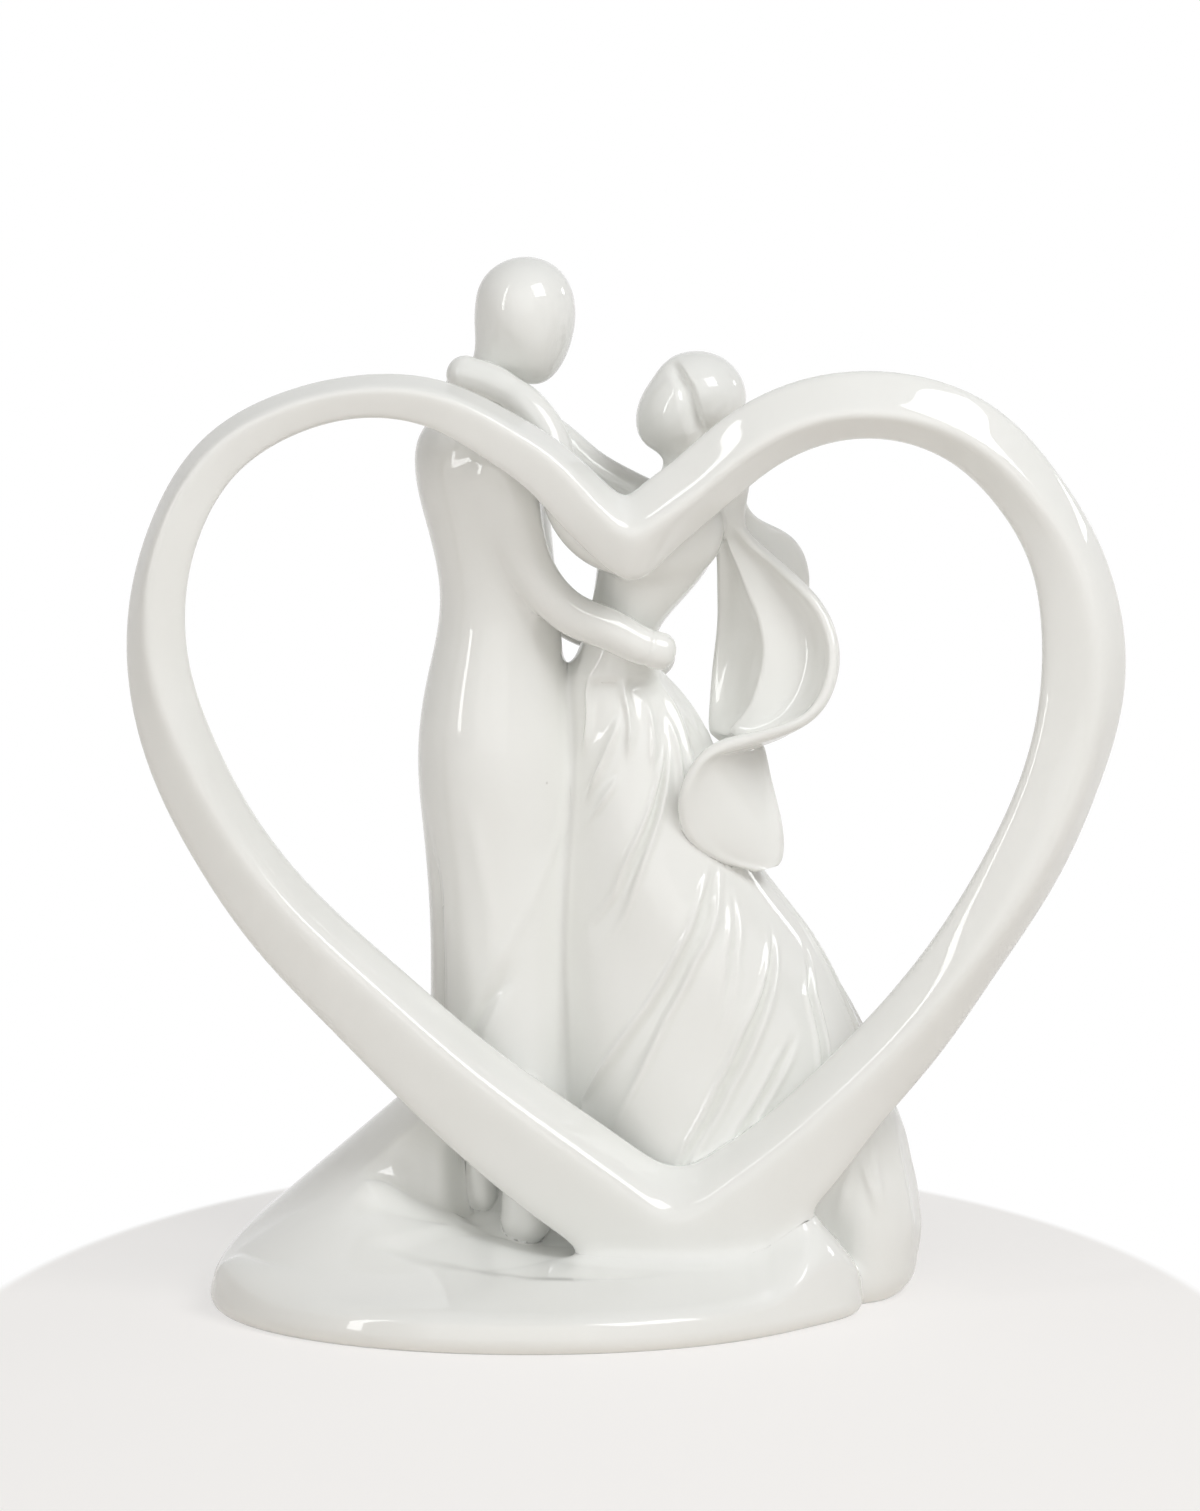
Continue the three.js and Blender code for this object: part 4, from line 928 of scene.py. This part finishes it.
def shapes():
    """Skin of each piece by name."""
    groom_arm = ARM_GRID, GROOM_ARM_FLAT, GROOM_CREASE, GROOM_ARM_CAP
    bride_arm = ARM_GRID, 1.0, BRIDE_CREASE
    return {
        "heart_ring": heart_bar(),
        "groom_near_arm": tube(GROOM_ARM, *groom_arm),
        "groom_far_arm": tube(far_side(GROOM_ARM), *groom_arm),
        "bride_near_arm": tube(BRIDE_ARM, *bride_arm),
        "bride_far_arm": tube(BRIDE_FAR_ARM, *bride_arm),
        "veil_front": ribbon(FRONT_RIBBON, FRONT_RIBBON_GRID),
        "veil_back": ribbon(BACK_RIBBON, BACK_RIBBON_GRID),
        "groom_near_leg": leg(*NEAR_LEG),
        "groom_far_leg": leg(*FAR_LEG),
        "groom_head": egg(GROOM_HEAD, GROOM_HEAD_GRID),
        "groom_neck": neck(*GROOM_NECK),
        "bride_head": egg(BRIDE_HEAD, BRIDE_HEAD_GRID, head_push),
        "bride_neck": neck(*BRIDE_NECK),
        "bride_hair": egg(BRIDE_HAIR, HAIR_GRID, hair_push),
        "bride_nape": tube(NAPE_HAIR, NAPE_GRID),
        "groom_body": column(COAT_LEVELS, GROOM_PLACE, COUPLE_SETBACK, COAT_GRID, coat_dent),
        "bride_torso": column(BODICE_LEVELS, BRIDE_PLACE, COUPLE_SETBACK, BODICE_GRID, bodice_dent),
        "bride_train": column(
            TRAIN_LEVELS, TRAIN_PLACE, SKIRT_SETBACK, TRAIN_GRID, train_dent, TRAIN_ROUNDING,
        ),
        "bride_skirt": column(SKIRT_LEVELS, BRIDE_PLACE, SKIRT_SETBACK, SKIRT_GRID, skirt_dent),
        "base": base_foot(),
    }


def near(tree, spot, reach):
    """Signed distance to a skin and the way out of it; None beyond reach."""
    place, normal, _, distance = tree.find_nearest(spot, reach)
    if place is None:
        return None
    step = spot - place
    sign = 1.0 if step.dot(normal) >= 0 else -1.0
    way = normal if distance < ON_SKIN else step * (sign / distance)
    return sign * distance, way


def on_glaze(start, own, touching):
    """Point of the glaze's skin by a point of the piece's own skin."""
    spot = start.copy()
    for _ in range(GLAZE_STEPS):
        found = near(own, spot, GLAZE_REACH)
        if found is None:
            break
        value, way = found
        mine = value
        under = 0.0
        for tree, size, _ in touching:
            found = near(tree, spot, size + GLAZE_SPARE)
            if found is None:
                continue
            other, its_way = found
            under = max(under, min(1.0, max(0.0, (mine - other) / (SEAM_SHARE * size))))
            h = min(1.0, max(0.0, 0.5 + 0.5 * (other - value) / size))
            value = other * (1 - h) + value * h - size * h * (1 - h)
            way = way * h + its_way * (1 - h)
        error = value + SEAM_DEPTH * under
        steep = way.length_squared
        if abs(error) < GLAZE_ERROR or steep < GLAZE_FLAT:
            break
        step = way * (-error / max(steep, GLAZE_SLOPE))
        if step.length > GLAZE_STEP:
            step *= GLAZE_STEP / step.length
        spot += step
    return spot


def corners_of(name):
    """Neighbours of a piece, with the size of the corner that the glaze rounds."""
    sizes = {}
    for piece, neighbours in GLAZE_CORNERS.items():
        for neighbour, size in neighbours.items():
            for side in ("near", "far"):
                pair = [word.replace("SIDE", side) for word in (piece, neighbour)]
                if name in pair:
                    pair.remove(name)
                    sizes[pair[0]] = size
    return sizes


def glazed(name, verts, trees):
    """Vertices after the glaze has rounded the corners with the neighbours."""
    corners = corners_of(name)
    moved = [Vector(v) for v in verts]
    for i, start in enumerate(moved):
        touching = []
        for other, size in corners.items():
            found = near(trees[other], start, size)
            if found is not None:
                touching.append((trees[other], size, found[0]))
        if not touching or min(d for _, _, d in touching) < -GLAZE_DEPTH:
            continue
        spot = on_glaze(start, trees[name], touching)
        if (spot - start).length < GLAZE_MOVE:
            moved[i] = spot
    return moved


def feed(tree, target, inputs):
    """Sets a node's inputs, each to a value or to the socket that feeds it."""
    for key, value in inputs.items():
        if isinstance(value, bpy.types.NodeSocket):
            tree.links.new(value, target.inputs[key])
        else:
            target.inputs[key].default_value = value


def node(tree, kind, inputs=None, **settings):
    made = tree.nodes.new("ShaderNode" + kind)
    for key, value in settings.items():
        setattr(made, key, value)
    feed(tree, made, inputs or {})
    return made


def combined(tree, operation, a, b):
    return node(tree, "Math", {0: a, 1: b}, operation=operation).outputs["Value"]


def ranged(tree, value, source, target, **settings):
    """A value moved from one range to another."""
    limits = {"From Min": source[0], "From Max": source[1], "To Min": target[0], "To Max": target[1]}
    return node(tree, "MapRange", {"Value": value, **limits}, **settings).outputs["Result"]


def mixed(tree, share, a, b):
    colours = node(tree, "Mix", {"Factor": share, "A": a, "B": b}, data_type="RGBA")
    return colours.outputs["Result"]


def noise(tree, place, scale, detail):
    made = node(tree, "TexNoise", {"Vector": place, "Scale": scale, "Detail": detail})
    return made.outputs["Fac"]


def body_colour(tree, place, bend, cloud):
    """Cloudy white that is greener where the glaze pools and darker there as painted shade in the hollows,
    with a few specks.
    """
    tint = node(tree, "ValToRGB", {"Fac": cloud})
    for stop, (position, colour) in zip(tint.color_ramp.elements, TINT):
        stop.position = position
        stop.color = colour
    # Painted shade: hollows turn to the greener, darker pooled colour.
    pooled_and_shaded = mixed(tree, ranged(tree, bend, POOL_SHADE_BEND, POOL_SHADE_SHARE), tint.outputs["Color"], POOL_AND_SHADE_COLOUR)
    cells = node(tree, "TexVoronoi", {"Vector": place, "Scale": SPECK_SCALE}).outputs
    chance = node(tree, "SeparateColor", {"Color": cells["Color"]}).outputs["Red"]
    rare = combined(tree, "GREATER_THAN", chance, SPECK_FREE)
    speck = combined(tree, "MULTIPLY", rare, ranged(tree, cells["Distance"], SPECK_EDGE, SPECK_SHARE))
    return mixed(tree, speck, pooled_and_shaded, SPECK_COLOUR)


def body_roughness(tree, place, normal, cloud):
    """Gloss of the glaze, duller on the bare underside."""
    facing, level = (
        node(tree, "SeparateXYZ", {"Vector": vector}).outputs["Z"] for vector in (normal, place)
    )
    on_ground = combined(tree, "LESS_THAN", level, BARE_LEVEL)
    bare = combined(tree, "MULTIPLY", ranged(tree, facing, BARE_FACING, BARE_ROUGHNESS), on_ground)
    return combined(tree, "ADD", ranged(tree, cloud, (0, 1), GLAZE_ROUGHNESS), bare)


def porcelain():
    material = bpy.data.materials.new("porcelain")
    material.use_nodes = True
    tree = material.node_tree
    place = node(tree, "TexCoord").outputs["Object"]
    skin = node(tree, "NewGeometry").outputs
    cloud, waves = (noise(tree, place, *pattern) for pattern in (CLOUD, WAVES))
    bump = node(tree, "Bump", {"Height": waves, "Strength": WAVE_STRENGTH, "Distance": WAVE_HEIGHT})
    feed(tree, tree.nodes["Principled BSDF"], {
        "IOR": PORCELAIN_IOR,
        "Metallic": 0.0,
        "Base Color": body_colour(tree, place, skin["Pointiness"], cloud),
        "Roughness": body_roughness(tree, place, skin["Normal"], cloud),
        "Normal": bump.outputs["Normal"],
    })
    return material


def placed(name, data):
    """New object in the scene."""
    made = bpy.data.objects.new(name, data)
    bpy.context.collection.objects.link(made)
    return made


def make_pieces():
    skins = shapes()
    trees = {}
    for name, (verts, faces) in skins.items():
        trees[name] = BVHTree.FromPolygons([tuple(v) for v in verts], faces)
    glaze = porcelain()
    for name, (verts, faces) in skins.items():
        cad_node = NODE_OF.get(name, name)
        moved = np.array([tuple(v) for v in glazed(name, verts, trees)])
        moved[:, 2] = np.maximum(moved[:, 2], 0.0)
        mesh = bpy.data.meshes.new(name + "_glazed")
        mesh.from_pydata((moved * UNIT).tolist(), [], faces)
        mesh.polygons.foreach_set("use_smooth", [True] * len(mesh.polygons))
        mesh.materials.append(glaze)
        mesh.update()
        piece = placed(name + "_glazed", mesh)
        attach(piece, "root")
        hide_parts(cad_node)


def seen_share(tree):
    """1 for rays from the camera and for those it follows through gloss or glass."""
    path = node(tree, "LightPath").outputs
    glossy = combined(tree, "MAXIMUM", path["Is Camera Ray"], path["Is Glossy Ray"])
    return combined(tree, "MAXIMUM", glossy, path["Is Transmission Ray"])


def whiten(tree, share, shader, light, output):
    """Mixes plain white light into a shader."""
    white = node(tree, light, {"Color": WHITE})
    mix = node(tree, "MixShader", {0: share, 1: shader.outputs[0], 2: white.outputs[0]})
    feed(tree, tree.nodes[output], {"Surface": mix.outputs["Shader"]})


def floor_white(tree):
    """Share of plain white on the floor, which is less on the pale round."""
    place = node(tree, "TexCoord").outputs["Object"]
    offset = node(tree, "VectorMath", {0: place, 1: FLOOR_MIDDLE}, operation="SUBTRACT")
    parts = node(tree, "SeparateXYZ", {"Vector": offset.outputs["Vector"]}).outputs
    back, front = (combined(tree, "MULTIPLY", parts["Y"], share) for share in FLOOR_SHARES)
    spot = node(tree, "CombineXYZ", {"X": parts["X"], "Y": combined(tree, "MAXIMUM", back, front)})
    away = node(tree, "VectorMath", {0: spot.outputs["Vector"]}, operation="LENGTH")
    white = ranged(tree, away.outputs["Value"], FLOOR_EDGE, FLOOR_WHITE, interpolation_type="SMOOTHSTEP")
    return combined(tree, "MULTIPLY", white, seen_share(tree))


def make_floor():
    half = FLOOR_SIZE / 2
    corners = [(-half, -half, 0), (half, -half, 0), (half, half, 0), (-half, half, 0)]
    mesh = bpy.data.meshes.new("floor")
    mesh.from_pydata(corners, [], [(0, 1, 2, 3)])
    floor = placed("floor", mesh)
    material = bpy.data.materials.new("pale_floor")
    material.use_nodes = True
    tree = material.node_tree
    matt = tree.nodes["Principled BSDF"]
    feed(tree, matt, {
        "Base Color": FLOOR_COLOUR, "Roughness": FLOOR_ROUGHNESS, "Specular IOR Level": FLOOR_SPECULAR,
    })
    whiten(tree, floor_white(tree), matt, "Emission", "Material Output")
    mesh.materials.append(material)


def make_lamp(name, place, target, size, power, colour=(1, 1, 1)):
    lamp = bpy.data.lights.new(name, "AREA")
    lamp.shape = "RECTANGLE"
    lamp.size, lamp.size_y = size
    lamp.energy = power
    lamp.color = colour
    obj = placed(name, lamp)
    obj.location = place
    obj.rotation_euler = (Vector(target) - Vector(place)).to_track_quat("-Z", "Y").to_euler()
    obj.visible_camera = False


def make_light():
    world = bpy.data.worlds.new("studio")
    bpy.context.scene.world = world
    world.use_nodes = True
    tree = world.node_tree
    soft = tree.nodes["Background"]
    feed(tree, soft, {"Color": WORLD_COLOUR, "Strength": WORLD_STRENGTH})
    whiten(tree, seen_share(tree), soft, "Background", "World Output")
    for lamp in LAMPS:
        make_lamp(*lamp)


def make_camera():
    camera = bpy.data.cameras.new("camera")
    camera.lens = CAMERA_LENS
    camera.sensor_width = CAMERA_SENSOR
    obj = placed("camera", camera)
    obj.location = CAMERA_PLACE
    obj.rotation_euler = (math.radians(90 - CAMERA_PITCH), 0, 0)
    bpy.context.scene.camera = obj


make_camera()
make_pieces()
make_floor()
make_light()
bpy.context.scene.view_settings.view_transform = "Standard"
